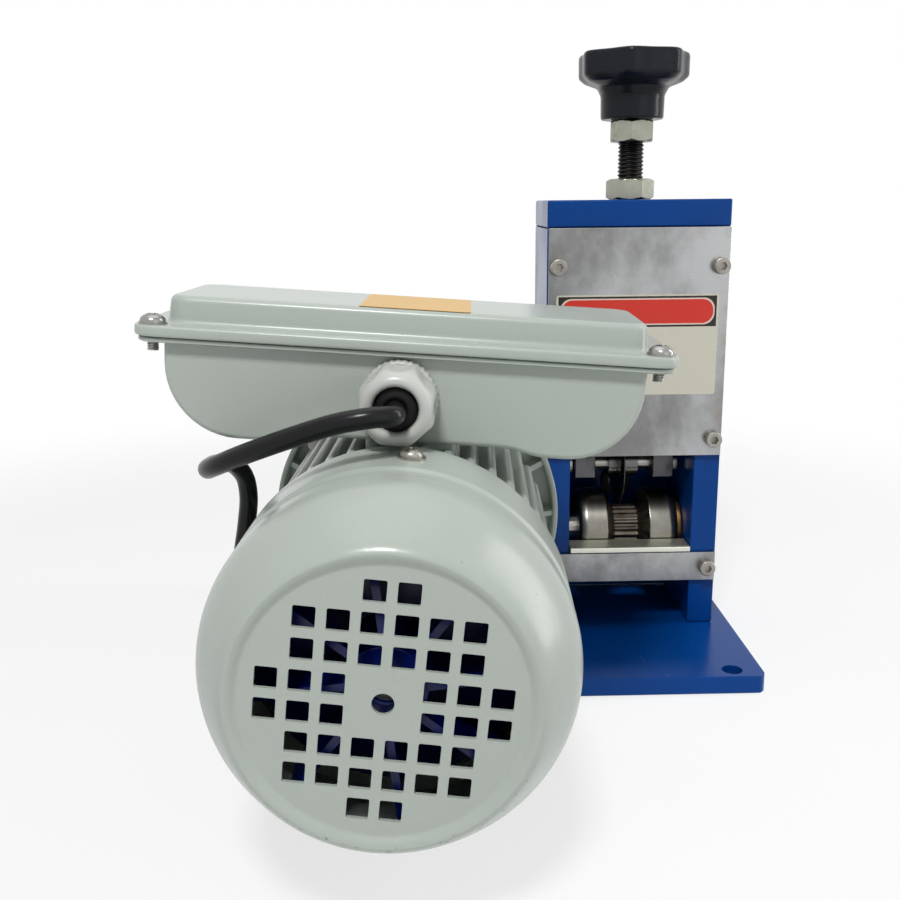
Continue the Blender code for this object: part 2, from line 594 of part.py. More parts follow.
def build_frame(mats):
    """Base plate, side plates, top plate, sheets, tray and their screws."""
    blue, plain, steel = mats["blue"], mats["plate"], mats["screw"]
    left, right = -HALF_HEAD - BASE_LEFT, HALF_HEAD + BASE_RIGHT
    near, far = -BASE_FRONT, HEAD_DEPTH + BASE_BACK
    outline = rounded((right - left) / 2, (far - near) / 2, BASE_CORNER, 3, (left + right) / 2,
                      (near + far) / 2)
    holes = [circle(BASE_HOLE_DIA / 2, SMALL_STEPS, x, y)
             for x in (left + BASE_HOLE_SIDE, right - BASE_HOLE_SIDE)
             for y in (near + BASE_HOLE_END, far - BASE_HOLE_END)]
    solid("base_plate", plate(outline, BASE_THICK, holes), blue)

    side_top = COVER_TOP - GAP
    for name, x in (("side_plate_left", -HALF_HEAD), ("side_plate_right", HALF_INSIDE)):
        outline = rectangle(0.0, HEAD_DEPTH, BASE_TOP + GAP, side_top)
        bore = circle(BUSH_RADIUS + BORE_CLEARANCE, HIDDEN_STEPS, DRIVE_DEPTH, DRIVE_Z)
        side = solid(name, shift(remap(plate(outline, SIDE_THICK, [bore]), "YZX"), x=x), blue, smooth=False)
        drills = []
        for spot, facing in screw_spots():
            if (spot[0] < 0) == (x < 0):
                reach = CAP_SHANK_LONG + OVERRUN
                start = -OVERRUN if facing < 0 else HEAD_DEPTH - reach
                hole = cylinder(CAP_SHANK_DIA / 2 + BORE_CLEARANCE, 0.0, reach + OVERRUN, SCREW_STEPS)
                drills.append(shift(remap(hole, "XZY"), spot[0], start, spot[2]))
        combine(side, merged(drills), "DIFFERENCE", "screw_holes")

    outline = rectangle(-HALF_HEAD, HALF_HEAD, 0.0, HEAD_DEPTH)
    bore = circle(ROD_RADIUS + BORE_CLEARANCE, SMALL_STEPS, 0.0, ROD_Y)
    bevel(solid("top_plate", shift(plate(outline, TOP_THICK, [bore]), z=COVER_TOP), blue))

    near_y = -GAP - SHEET_THICK
    far_y = HEAD_DEPTH + GAP
    sheets = (("cover_plate", COVER_TOP - COVER_HEIGHT, COVER_TOP, near_y, -1, []),
              ("lower_strip", STRIP_BOTTOM, STRIP_TOP, near_y, -1, []),
              ("infeed_plate", INFEED_BOTTOM, COVER_TOP, far_y, 1,
               [circle(INFEED_HOLE_DIA / 2, HIDDEN_STEPS, ROLLER_SHIFT, INFEED_HOLE_Z)]))
    for name, low, high, y, facing, holes in sheets:
        for spot, way in screw_spots():
            if way == facing and low < spot[2] < high:
                holes.append(circle(CAP_SHANK_DIA / 2 + BORE_CLEARANCE, SCREW_STEPS, spot[0], spot[2]))
        outline = rectangle(-HALF_SHEET, HALF_SHEET, low, high)
        solid(name, shift(remap(plate(outline, SHEET_THICK, holes), "XZY"), y=y), plain, smooth=False)

    names = ("cover_screw_1", "cover_screw_2", "cover_screw_3", "cover_screw_4",
             "strip_screw_1", "strip_screw_2", "infeed_screw_1", "infeed_screw_2")
    for name, (spot, facing) in zip(names, screw_spots()):
        cap_screw(name, steel, spot, facing)

    lip = near_y
    back = DRIVE_DEPTH - ROLLER_RADIUS - TRAY_ROLLER_GAP
    low = STRIP_TOP + GAP
    outline = [(lip, low), (0.0, low), (0.0, low - TRAY_LEG), (TRAY_THICK, low - TRAY_LEG), (TRAY_THICK, low),
               (back, low), (back, low + TRAY_THICK), (lip, low + TRAY_THICK)]
    half = HALF_INSIDE - TRAY_SIDE_CLEARANCE
    bm = shift(remap(plate(outline, 2 * half), "YZX"), x=-half)
    solid("exit_tray", bm, plain, smooth=False)


def screw_spots():
    """Seat centres and facing of the eight socket head screws."""
    seat = GAP + SHEET_THICK + GAP
    upper, lower = COVER_TOP - COVER_SCREW_TOP, COVER_TOP - COVER_HEIGHT + COVER_SCREW_BOTTOM
    cover = [(x, -seat, z) for z in (upper, lower) for x in (-SCREW_X, SCREW_X)]
    strip = [(x, -seat, (STRIP_BOTTOM + STRIP_TOP) / 2) for x in (-SCREW_X, SCREW_X)]
    infeed = [(x, HEAD_DEPTH + seat, COVER_TOP - INFEED_SCREW_DROP) for x in (-SCREW_X, SCREW_X)]
    return [(spot, -1) for spot in cover + strip] + [(spot, 1) for spot in infeed]


def build_roller(mats):
    """Feed roller with a toothed groove, its shaft with the coupling tongue, and two flanged bushes."""
    spot = (0.0, DRIVE_DEPTH, DRIVE_Z)
    half = ROLLER_LENGTH / 2
    steps = 2 * GROOVE_TEETH
    bore = ROLLER_SHAFT_RADIUS + BORE_CLEARANCE
    edge, floor = GROOVE_WIDTH / 2, GROOVE_FLOOR_WIDTH / 2

    def toothed(radius, x):
        return [((radius - TOOTH_DEPTH * (i % 2)) * cos(tau * i / steps),
                 (radius - TOOTH_DEPTH * (i % 2)) * sin(tau * i / steps), x) for i in range(steps)]

    rings = [ring_at(bore, -half, steps), ring_at(ROLLER_RADIUS, -half, steps),
             ring_at(ROLLER_RADIUS, -edge, steps), toothed(GROOVE_RADIUS, -floor),
             toothed(GROOVE_RADIUS, floor), ring_at(ROLLER_RADIUS, edge, steps),
             ring_at(ROLLER_RADIUS, half, steps), ring_at(bore, half, steps)]
    bm = shift(remap(lofted(rings, closed=True), "YZX"), x=ROLLER_SHIFT)
    solid("feed_roller", bm, mats["roller"], spot)

    shoulder = COUPLING_X + COUPLING_PAST + COUPLING_SPACE
    bm = remap(cylinder(ROLLER_SHAFT_RADIUS, shoulder, HALF_HEAD, HIDDEN_STEPS), "YZX")
    shaft = solid("roller_shaft", bm, mats["steel"], spot)
    tip = COUPLING_X + COUPLING_PAST - TONGUE_IN_SLOT
    tall = sqrt(ROLLER_SHAFT_RADIUS ** 2 - (TONGUE_THICK / 2) ** 2)
    tongue = box(tip, shoulder + OVERRUN, -TONGUE_THICK / 2, TONGUE_THICK / 2, -tall, tall)
    combine(shaft, tongue, "UNION", "tongue")

    for name, side in (("roller_bush_left", -1), ("roller_bush_right", 1)):
        inner = HALF_INSIDE - GAP
        profile = [(bore, inner - BUSH_FLANGE_THICK), (BUSH_FLANGE_RADIUS, inner - BUSH_FLANGE_THICK),
                   (BUSH_FLANGE_RADIUS, inner), (BUSH_RADIUS, inner), (BUSH_RADIUS, HALF_HEAD),
                   (bore, HALF_HEAD)]
        bm = remap(turned(profile, HIDDEN_STEPS), "YZX")
        bmesh.ops.scale(bm, vec=(side, 1.0, 1.0), verts=bm.verts[:])
        solid(name, bm, mats["bronze"], spot)


def build_carriage(mats):
    """Sliding block with a T slot for the screw, two legs, the axle and the round blade."""
    half = HALF_INSIDE - CARRIAGE_CLEARANCE
    neck = ROD_RADIUS + BORE_CLEARANCE
    pocket = COLLAR_RADIUS + BORE_CLEARANCE
    neck_low = CARRIAGE_TOP - SLOT_NECK
    pocket_low = neck_low - COLLAR_THICK - 2 * GAP
    outline = [(-half, CARRIAGE_BOTTOM), (half, CARRIAGE_BOTTOM), (half, CARRIAGE_TOP), (neck, CARRIAGE_TOP),
               (neck, neck_low), (pocket, neck_low), (pocket, pocket_low), (-pocket, pocket_low),
               (-pocket, neck_low), (-neck, neck_low), (-neck, CARRIAGE_TOP), (-half, CARRIAGE_TOP)]
    depth = HEAD_DEPTH - 2 * CARRIAGE_MARGIN
    bm = shift(remap(plate(outline, depth), "XZY"), y=CARRIAGE_MARGIN)
    carriage = solid("blade_carriage", bm, mats["carriage"], smooth=False)
    legs = []
    for side in (-1, 1):
        outline = rectangle(BLADE_DEPTH - LEG_DEPTH / 2, BLADE_DEPTH + LEG_DEPTH / 2,
                            BLADE_Z - LEG_BELOW_AXIS, CARRIAGE_BOTTOM + LEG_MERGE)
        bore = circle(AXLE_RADIUS + BORE_CLEARANCE, SMALL_STEPS, BLADE_DEPTH, BLADE_Z)
        leg = remap(plate(outline, LEG_THICK, [bore]), "YZX")
        legs.append(shift(leg, x=LEG_INNER if side > 0 else -LEG_INNER - LEG_THICK))
    combine(carriage, merged(legs), "UNION", "legs")

    spot = (0.0, BLADE_DEPTH, BLADE_Z)
    reach = LEG_INNER + LEG_THICK
    bm = remap(cylinder(AXLE_RADIUS, -reach, reach), "YZX")
    solid("blade_axle", bm, mats["steel"], spot)

    bore = AXLE_RADIUS + BORE_CLEARANCE
    half = BLADE_THICK / 2
    bevel_start = BLADE_RADIUS - BLADE_BEVEL
    profile = [(bore, -BLADE_HUB_LEFT), (BLADE_HUB_RADIUS, -BLADE_HUB_LEFT), (BLADE_HUB_RADIUS, -half),
               (bevel_start, -half), (BLADE_RADIUS, -BLADE_EDGE / 2), (BLADE_RADIUS, BLADE_EDGE / 2),
               (bevel_start, half), (BLADE_HUB_RADIUS, half), (BLADE_HUB_RADIUS, BLADE_HUB_RIGHT),
               (bore, BLADE_HUB_RIGHT)]
    bm = shift(remap(turned(profile, ROUND_STEPS), "YZX"), x=BLADE_SHIFT)
    solid("blade_disc", bm, mats["blade"], spot)


def build_adjuster(mats):
    """Threaded rod with its collar, the star knob, the nut under it and the lock nut on the head."""
    spot = (0.0, ROD_Y, 0.0)
    neck_low = CARRIAGE_TOP - SLOT_NECK
    low = neck_low - GAP - COLLAR_THICK
    top = KNOB_BOTTOM + ROD_IN_KNOB
    profile = [(0.0, low), (COLLAR_RADIUS, low), (COLLAR_RADIUS, neck_low - GAP), (ROD_RADIUS, neck_low - GAP),
               (ROD_RADIUS, top), (0.0, top)]
    solid("adjusting_screw", turned(profile, HIDDEN_STEPS), mats["rod"], spot)

    steps = KNOB_LOBE_STEPS * KNOB_LOBES
    bore = ROD_RADIUS + BORE_CLEARANCE

    def lobed(radius, height, depth):
        ring = []
        for i in range(steps):
            angle = tau * i / steps
            wave = (0.5 - 0.5 * cos(KNOB_LOBES * angle)) ** KNOB_FLUTE_POWER_SHARE
            r = radius - depth * wave
            ring.append((r * cos(angle), r * sin(angle), height))
        return ring

    crown = KNOB_BOTTOM + KNOB_HEIGHT
    rim = crown - KNOB_RIM_HEIGHT
    rounding = KNOB_ROUNDING
    rings = [ring_at(bore, top + GAP, steps), ring_at(bore, KNOB_BOTTOM, steps),
             ring_at(KNOB_HUB_RADIUS - rounding / 2, KNOB_BOTTOM, steps),
             ring_at(KNOB_HUB_RADIUS, KNOB_BOTTOM + rounding, steps),
             ring_at(KNOB_HUB_RADIUS, rim - rounding, steps),
             lobed(KNOB_RADIUS - rounding, rim, KNOB_LOBE_DEPTH / 2),
             lobed(KNOB_RADIUS, rim + rounding, KNOB_LOBE_DEPTH),
             lobed(KNOB_RADIUS, crown - rounding, KNOB_LOBE_DEPTH),
             lobed(KNOB_RADIUS - rounding, crown, KNOB_LOBE_DEPTH)]
    solid("knob", lofted(rings), mats["knob"], spot)
    nut("knob_nut", mats["nut"], KNOB_BOTTOM - GAP - KNOB_NUT_HIGH, KNOB_NUT_HIGH, spot)
    nut("lock_nut", mats["nut"], HEAD_TOP + GAP, LOCK_NUT_HIGH, spot)


def build_gear_unit(mats, unit):
    """Housing, side cover, adapter, output shaft with slotted coupling hub, worm and worm wheel."""
    middle = -GEAR_REACH
    half_w, half_l = HOUSING_WIDTH / 2, HOUSING_LENGTH / 2
    floor = BASE_TOP + GAP - DRIVE_Z
    roof = CENTRE_DISTANCE + HOUSING_ABOVE_WORM
    outline = rounded(half_l, (roof - floor) / 2, HOUSING_ROUNDING, 4, 0.0, (roof + floor) / 2)
    bm = shift(remap(plate(outline, HOUSING_WIDTH), "YZX"), x=middle - half_w)
    housing = solid("gearbox_housing", bm, mats["gear"], (0, 0, 0), unit)
    left = middle - half_w
    right = middle + half_w
    cavity = remap(cylinder(WHEEL_CAVITY_RADIUS, left - OVERRUN, right - HOUSING_WALL, HIDDEN_STEPS), "YZX")
    combine(housing, cavity, "DIFFERENCE", "wheel_space")
    worm = remap(cylinder(WORM_CAVITY_RADIUS, -half_l - OVERRUN, WORM_CAVITY_FAR, HIDDEN_STEPS), "XZY")
    combine(housing, shift(worm, middle, 0.0, CENTRE_DISTANCE), "DIFFERENCE", "worm_space")
    bore = cylinder(OUTPUT_SHAFT_RADIUS + BORE_CLEARANCE, middle, right + OVERRUN)
    combine(housing, remap(bore, "YZX"), "DIFFERENCE", "shaft_bore")

    bore = OUTPUT_SHAFT_RADIUS + BORE_CLEARANCE
    seat = left - GAP
    spigot = WHEEL_CAVITY_RADIUS - BORE_CLEARANCE
    profile = [(bore, seat - GEAR_COVER_THICK), (GEAR_COVER_RADIUS, seat - GEAR_COVER_THICK),
               (GEAR_COVER_RADIUS, seat), (spigot, seat), (spigot, seat + GEAR_SPIGOT), (bore, seat + GEAR_SPIGOT)]
    solid("gearbox_side_cover", remap(turned(profile, SMALL_STEPS), "YZX"), mats["gear"], (0, 0, 0), unit)

    start = -half_l - GAP
    end = start - ADAPTER_LENGTH
    profile = [(ADAPTER_BORE_RADIUS, start), (ADAPTER_SMALL_RADIUS, start),
               (ADAPTER_SMALL_RADIUS, start - ADAPTER_FLANGE), (ADAPTER_NECK_RADIUS, start - ADAPTER_FLANGE),
               (ADAPTER_NECK_RADIUS, end + ADAPTER_FLANGE), (ADAPTER_LARGE_RADIUS, end + ADAPTER_FLANGE),
               (ADAPTER_LARGE_RADIUS, end), (ADAPTER_BORE_RADIUS, end)]
    bm = shift(remap(turned(profile, HIDDEN_STEPS), "XZY"), middle, 0.0, CENTRE_DISTANCE)
    solid("gearbox_adapter", bm, mats["gear"], (0, 0, 0), unit)

    hub_end = COUPLING_PAST
    hub_start = hub_end - COUPLING_LENGTH
    outer = seat - GEAR_COVER_THICK - OUTPUT_SHAFT_OUT
    profile = [(0.0, outer), (OUTPUT_SHAFT_RADIUS, outer), (OUTPUT_SHAFT_RADIUS, hub_start),
               (COUPLING_RADIUS, hub_start), (COUPLING_RADIUS, hub_end), (0.0, hub_end)]
    shaft = solid("output_shaft", remap(turned(profile, HIDDEN_STEPS), "YZX"), mats["steel"], (0, 0, 0), unit)
    half = SLOT_WIDTH / 2
    tall = COUPLING_RADIUS + OVERRUN
    slot = box(hub_end - SLOT_DEPTH, hub_end + OVERRUN, -half, half, -tall, tall)
    combine(shaft, slot, "DIFFERENCE", "slot")

    steps = 2 * WHEEL_TEETH
    half = WHEEL_WIDTH / 2

    def geared(height):
        return [((WHEEL_RADIUS - WHEEL_TOOTH_DEPTH * (i % 2)) * cos(tau * i / steps),
                 (WHEEL_RADIUS - WHEEL_TOOTH_DEPTH * (i % 2)) * sin(tau * i / steps), height)
                for i in range(steps)]

    rings = [ring_at(bore, middle - half, steps), geared(middle - half), geared(middle + half),
             ring_at(bore, middle + half, steps)]
    solid("worm_wheel", remap(lofted(rings, closed=True), "YZX"), mats["bronze"], (0, 0, 0), unit)

    bore = WORM_SHAFT_RADIUS + BORE_CLEARANCE
    half = WORM_LENGTH / 2
    profile = [(bore, -half), (WORM_RADIUS, -half), (WORM_RADIUS, half), (bore, half)]
    bm = shift(remap(turned(profile, SMALL_STEPS), "XZY"), middle, 0.0, CENTRE_DISTANCE)
    solid("worm", bm, mats["steel"], (0, 0, 0), unit)


def build_motor(mats, unit):
    """Drive end shield, finned frame, stator, rotor, shaft, rear shield, fan and fan cover.

    The motor_axis empty lies on the shaft at the mounting face, with the fan end at its -Y.
    """
    axis = empty("motor_axis", (-GEAR_REACH, -MOUNT_FACE, CENTRE_DISTANCE), parent=unit)
    lean = empty("box_lean", (0, 0, 0), (0.0, MOTOR_ROLL, 0.0), axis)
    inner = REAR_SHAFT_RADIUS + BORE_CLEARANCE
    fit = FRAME_BORE_RADIUS - BORE_CLEARANCE
    bell = FRAME_START - GAP
    bore = MOTOR_SHAFT_RADIUS + BORE_CLEARANCE

    profile = [(bore, 0.0), (FLANGE_RADIUS, 0.0), (FLANGE_RADIUS, FLANGE_THICK),
               (FLANGE_RADIUS - FLANGE_RIM, FLANGE_THICK), (FLANGE_RADIUS - FLANGE_RIM, FLANGE_WEB),
               (BELL_RADIUS, FLANGE_WEB), (BELL_RADIUS, bell), (BELL_RADIUS - BELL_WALL, bell),
               (BELL_RADIUS - BELL_WALL, FLANGE_WEB), (SHIELD_HUB_RADIUS, FLANGE_WEB),
               (SHIELD_HUB_RADIUS, SHIELD_HUB_LONG), (bore, SHIELD_HUB_LONG)]
    place_on_axis("drive_end_shield", turned(profile, ROUND_STEPS), mats["motor"], axis)

    pitch = tau / FIN_COUNT
    outline = []
    for i in range(FIN_COUNT):
        for share, radius in ((FIN_SHARES[0], FRAME_RADIUS), (FIN_SHARES[0], FIN_TIP_RADIUS),
                              (FIN_SHARES[1], FIN_TIP_RADIUS), (FIN_SHARES[1], FRAME_RADIUS)):
            angle = (i + share - 0.5) * pitch
            outline.append((radius * sin(angle), radius * cos(angle)))
    bm = shift(plate(outline, FRAME_LENGTH, [circle(FRAME_BORE_RADIUS, HIDDEN_STEPS)]), z=FRAME_START)
    frame = place_on_axis("motor_frame", bm, mats["motor"], axis)
    near = FRAME_START + FRAME_LENGTH - PAD_INSET
    pad = box(-PAD_HALF, PAD_HALF, -near, -near + 2 * PAD_HALF, FRAME_RADIUS - PAD_ROOT, BOX_FLOOR - GAP)
    bmesh.ops.rotate(pad, verts=pad.verts[:], cent=(0, 0, 0), matrix=Matrix.Rotation(MOTOR_ROLL, 3, "Y"))
    combine(frame, pad, "UNION", "pad")

    centre = FRAME_START + FRAME_LENGTH / 2
    core, coil = STATOR_CORE / 2, STATOR_CORE / 2 + WINDING_LONG
    profile = [(fit, -core), (WINDING_RADIUS, -core), (WINDING_RADIUS, -coil), (STATOR_BORE_RADIUS, -coil),
               (STATOR_BORE_RADIUS, coil), (WINDING_RADIUS, coil), (WINDING_RADIUS, core), (fit, core)]
    place_on_axis("stator", shift(turned(profile, HIDDEN_STEPS), z=centre), mats["stator"], axis)

    rotor = STATOR_BORE_RADIUS - 2 * GAP
    half = ROTOR_LENGTH / 2
    profile = [(bore, -half), (rotor, -half), (rotor, half), (bore, half)]
    place_on_axis("rotor_core", shift(turned(profile, HIDDEN_STEPS), z=centre), mats["rotor"], axis)

    worm_end = -MOUNT_FACE - WORM_SHAFT_FAR
    shoulder = REAR_FACE - REAR_SPIGOT - SHAFT_SPACE
    tip = GRILLE - FAN_START - SHAFT_SPACE
    profile = [(0.0, worm_end), (WORM_SHAFT_RADIUS, worm_end), (WORM_SHAFT_RADIUS, -SHAFT_SPACE),
               (MOTOR_SHAFT_RADIUS, -SHAFT_SPACE), (MOTOR_SHAFT_RADIUS, shoulder), (REAR_SHAFT_RADIUS, shoulder),
               (REAR_SHAFT_RADIUS, tip), (0.0, tip)]
    place_on_axis("rotor_shaft", turned(profile, SMALL_STEPS), mats["steel"], axis)

    register = COVER_RADIUS - COVER_WALL - GAP
    rim = REAR_FACE + REAR_RIM_THICK
    profile = [(inner, REAR_FACE - REAR_SPIGOT), (fit, REAR_FACE - REAR_SPIGOT), (fit, REAR_FACE),
               (REAR_RIM_RADIUS, REAR_FACE), (REAR_RIM_RADIUS, rim), (register, rim),
               (register, rim + REAR_REGISTER), (register - REAR_REGISTER_WALL, rim + REAR_REGISTER),
               (register - REAR_REGISTER_WALL, rim), (SHIELD_HUB_RADIUS, rim),
               (SHIELD_HUB_RADIUS, REAR_FACE + REAR_HUB_LONG), (inner, REAR_FACE + REAR_HUB_LONG)]
    shield = place_on_axis("rear_end_shield", turned(profile, HIDDEN_STEPS), mats["motor"], axis)

    outline = []
    for i in range(FAN_BLADES):
        angle = tau * i / FAN_BLADES
        for u, v in ((FAN_HUB_RADIUS, -FAN_BLADE_THICK / 2), (FAN_RADIUS, -FAN_BLADE_THICK / 2),
                     (FAN_RADIUS, FAN_BLADE_THICK / 2), (FAN_HUB_RADIUS, FAN_BLADE_THICK / 2)):
            outline.append((u * cos(angle) - v * sin(angle), u * sin(angle) + v * cos(angle)))
    bm = plate(outline, FAN_LENGTH, [circle(inner, SMALL_STEPS)])
    place_on_axis("cooling_fan", shift(bm, z=GRILLE - FAN_START - FAN_LENGTH), mats["fan"], axis)

    build_fan_cover(mats, axis, shield)
    return lean


def place_on_axis(name, bm, mat, axis):
    """Drawing height runs from the mounting face to the fan end, that is along -Y."""
    remap(bm, "XZY")
    bmesh.ops.scale(bm, vec=(1.0, -1.0, 1.0), verts=bm.verts[:])
    return solid(name, bm, mat, (0, 0, 0), axis)


def cover_profile():
    """Fan cover's outside, from the rim round the grille to the rear edge."""
    rise = COVER_RADIUS - COVER_RIM_RADIUS
    points = [(COVER_RIM_RADIUS + rise * up, along * COVER_LENGTH - COVER_RIM_OUT)
              for along, up in COVER_STATION_SHARES]
    points += [(COVER_RADIUS - COVER_STEP_DEPTH * down, along * COVER_LENGTH)
               for along, down in COVER_STEP_SHARES]
    points.append((COVER_RADIUS, COVER_LENGTH))
    return points


def build_fan_cover(mats, axis, shield):
    """Deep drawn cover with a dished, pierced face, and the screw that holds it."""
    outside = cover_profile()
    inside = [outside[-1], *outside[4:1:-1], outside[1]]
    inside = [(radius - COVER_WALL, height + COVER_WALL * (height < COVER_LENGTH))
              for radius, height in inside]
    face = [(0.0, 0.0), (GRILLE_RADIUS, 0.0)]
    back = [(GRILLE_RADIUS, COVER_WALL), (0.0, COVER_WALL)]
    bm = turned(face + outside + inside + back, ROUND_STEPS)
    for vert in bm.verts:
        vert.co.z = GRILLE - vert.co.z
    cover = place_on_axis("fan_cover", bm, mats["motor"], axis)
    cover.rotation_euler = (0.0, FAN_COVER_ROLL, 0.0)

    half, side = GRILLE_HOLE / 2, (len(GRILLE_ROWS) - 1) / 2
    cutters = []
    depth = COVER_WALL + 2 * OVERRUN
    for row, count in enumerate(GRILLE_ROWS):
        v = (side - row) * GRILLE_PITCH
        for column in range(count):
            place = column - (count - 1) / 2
            if row in GRILLE_MIDDLE_ROWS:
                place += 1 if place > 0 else -1
            u = place * GRILLE_PITCH
            cutters.append(plate(rectangle(u - half, u + half, v - half, v + half), depth))
    cutters.append(plate(circle(GRILLE_CENTRE_HOLE_DIA / 2, SMALL_STEPS), depth))
    bm = shift(merged(cutters), z=GRILLE - COVER_WALL - OVERRUN)
    remap(bm, "XZY")
    bmesh.ops.scale(bm, vec=(1.0, -1.0, 1.0), verts=bm.verts[:])
    combine(cover, bm, "DIFFERENCE", "grille")

    roll = empty("cover_roll", (0, 0, 0), (0.0, FAN_COVER_ROLL, 0.0), axis)
    y = -(GRILLE - COVER_LENGTH + COVER_SCREW_BACK)
    bore = COVER_SCREW_SHANK_DIA / 2 + BORE_CLEARANCE
    for piece, turn in ((cover, 0.0), (shield, FAN_COVER_ROLL)):
        drill = shift(cylinder(bore, COVER_RADIUS - COVER_SCREW_DEEP - OVERRUN, COVER_RADIUS + OVERRUN), y=y)
        bmesh.ops.rotate(drill, verts=drill.verts[:], cent=(0, 0, 0), matrix=Matrix.Rotation(turn, 3, "Y"))
        combine(piece, drill, "DIFFERENCE", "screw_hole")
    pan_screw("fan_cover_screw", mats["screw"], (0.0, y, COVER_RADIUS + GAP), COVER_SCREW_HEAD_DIA,
              COVER_SCREW_HEAD_HIGH, COVER_SCREW_SHANK_DIA, COVER_SCREW_DEEP, roll)


def box_outline(inset, top):
    """Box seen from the motor's end: flat middle, a round lobe at each end, open at the top."""
    half = BOX_HALF - inset
    floor = BOX_FLOOR + inset
    low = BOX_FLOOR - BOX_LOBE_DROP + inset
    radius = BOX_LOBE_RADIUS - inset
    right = [(half, top)]
    for i in range(BOX_CORNER_STEPS + 1):
        angle = -i / BOX_CORNER_STEPS * pi / 2
        right.append((half - radius + radius * cos(angle), low + radius + radius * sin(angle)))
    right.append((BOX_LOBE_INNER + BOX_LOBE_RADIUS / 3, low))
    right.append((BOX_LOBE_INNER, floor))
    left = [(-u, v) for u, v in right[::-1]]
    return right + left


def lid_ring(half_u, half_v, radius, height):
    return [(u, v, height) for u, v in rounded(half_u, half_v, radius, BOX_CORNER_STEPS)]


def build_box(mats, lean):
    """Terminal box with rim flange, lid, lid screws, pad, capacitors, gland and rocker switch."""
    near = -(GRILLE - BOX_NEAR)
    middle = near + BOX_DEPTH / 2
    grey = mats["motor"]
    spot = (BOX_SHIFT, middle, 0.0)

    bm = shift(remap(plate(box_outline(0.0, BOX_TOP), BOX_DEPTH), "XZY"), y=-BOX_DEPTH / 2)
    tub = solid("terminal_box", bm, grey, spot, lean)
    outline = rounded(LID_HALF_WIDTH - BOX_FLANGE_MARGIN, LID_HALF_DEPTH - BOX_FLANGE_MARGIN,
                      LID_CORNER - BOX_FLANGE_MARGIN, BOX_CORNER_STEPS)
    rim = shift(plate(outline, BOX_FLANGE_THICK), z=BOX_TOP - BOX_FLANGE_THICK)
    combine(tub, rim, "UNION", "rim")
    deep = BOX_DEPTH - 2 * BOX_WALL
    hollow = shift(remap(plate(box_outline(BOX_WALL, BOX_TOP + OVERRUN), deep), "XZY"), y=-deep / 2)
    combine(tub, hollow, "DIFFERENCE", "inside")
    screws = [(su * (LID_HALF_WIDTH - LID_SCREW_SIDE), sv * (LID_HALF_DEPTH - LID_SCREW_SIDE))
              for sv in (-1, 1) for su in (-1, 1)]
    hole = LID_SCREW_SHANK_DIA / 2 + BORE_CLEARANCE
    lid_low = BOX_TOP + GAP
    below = BOX_TOP - BOX_FLANGE_THICK - OVERRUN
    drills = [shift(cylinder(hole, below, lid_low + OVERRUN, SCREW_STEPS), u, v) for u, v in screws]
    gland_z = BOX_FLOOR + GLAND_RISE
    thread = GLAND_THREAD_RADIUS + BORE_CLEARANCE
    bore = remap(cylinder(thread, -BOX_DEPTH / 2 - OVERRUN, -BOX_DEPTH / 2 + BOX_WALL + OVERRUN), "XZY")
    drills.append(shift(bore, GLAND_SHIFT, 0.0, gland_z))
    switch_z = (BOX_FLOOR + BOX_TOP) / 2
    half_w = SWITCH_WIDTH / 2 - SWITCH_RIM + BORE_CLEARANCE
    half_h = SWITCH_HEIGHT / 2 - SWITCH_RIM + BORE_CLEARANCE
    far = BOX_DEPTH / 2
    drills.append(box(SWITCH_SHIFT - half_w, SWITCH_SHIFT + half_w, far - BOX_WALL - OVERRUN, far + OVERRUN,
                      switch_z - half_h, switch_z + half_h))
    combine(tub, merged(drills), "DIFFERENCE", "holes")

    top = lid_low + LID_FLANGE
    lip = LID_FLANGE - LID_WALL
    shell = [
        lid_ring(PAN_HALF_WIDTH - PAN_DRAFT - LID_WALL, PAN_HALF_DEPTH - PAN_DRAFT - LID_WALL,
                 PAN_CORNER - LID_WALL, top + PAN_RISE - LID_WALL),
        lid_ring(PAN_HALF_WIDTH - LID_WALL, PAN_HALF_DEPTH - LID_WALL, PAN_CORNER - LID_WALL, lid_low),
        lid_ring(LID_HALF_WIDTH, LID_HALF_DEPTH, LID_CORNER, lid_low),
        lid_ring(LID_HALF_WIDTH, LID_HALF_DEPTH, LID_CORNER, top - lip / 2),
        lid_ring(LID_HALF_WIDTH - lip / 2, LID_HALF_DEPTH - lip / 2, LID_CORNER - lip / 2, top),
        lid_ring(PAN_HALF_WIDTH + PAN_STEP, PAN_HALF_DEPTH + PAN_STEP, PAN_CORNER + PAN_STEP, top),
        lid_ring(PAN_HALF_WIDTH, PAN_HALF_DEPTH, PAN_CORNER, top + PAN_STEP),
        lid_ring(PAN_HALF_WIDTH - PAN_DRAFT / 3, PAN_HALF_DEPTH - PAN_DRAFT / 3, PAN_CORNER,
                 top + PAN_RISE - PAN_DRAFT),
        lid_ring(PAN_HALF_WIDTH - PAN_DRAFT, PAN_HALF_DEPTH - PAN_DRAFT, PAN_CORNER - PAN_DRAFT,
                 top + PAN_RISE),
    ]
    lid = solid("box_lid", lofted(shell), grey, spot, lean)
    drills = [shift(cylinder(hole, lid_low - OVERRUN, top + OVERRUN, SCREW_STEPS), u, v) for u, v in screws]
    combine(lid, merged(drills), "DIFFERENCE", "screw_holes")
    for number, (u, v) in enumerate(screws, 1):
        reach = GAP + LID_FLANGE + GAP + BOX_FLANGE_THICK + LID_SCREW_OUT
        pan_screw("lid_screw_%d" % number, mats["screw"], (BOX_SHIFT + u, middle + v, top + GAP),
                  LID_SCREW_HEAD_DIA, LID_SCREW_HEAD_HIGH, LID_SCREW_SHANK_DIA, reach, lean)

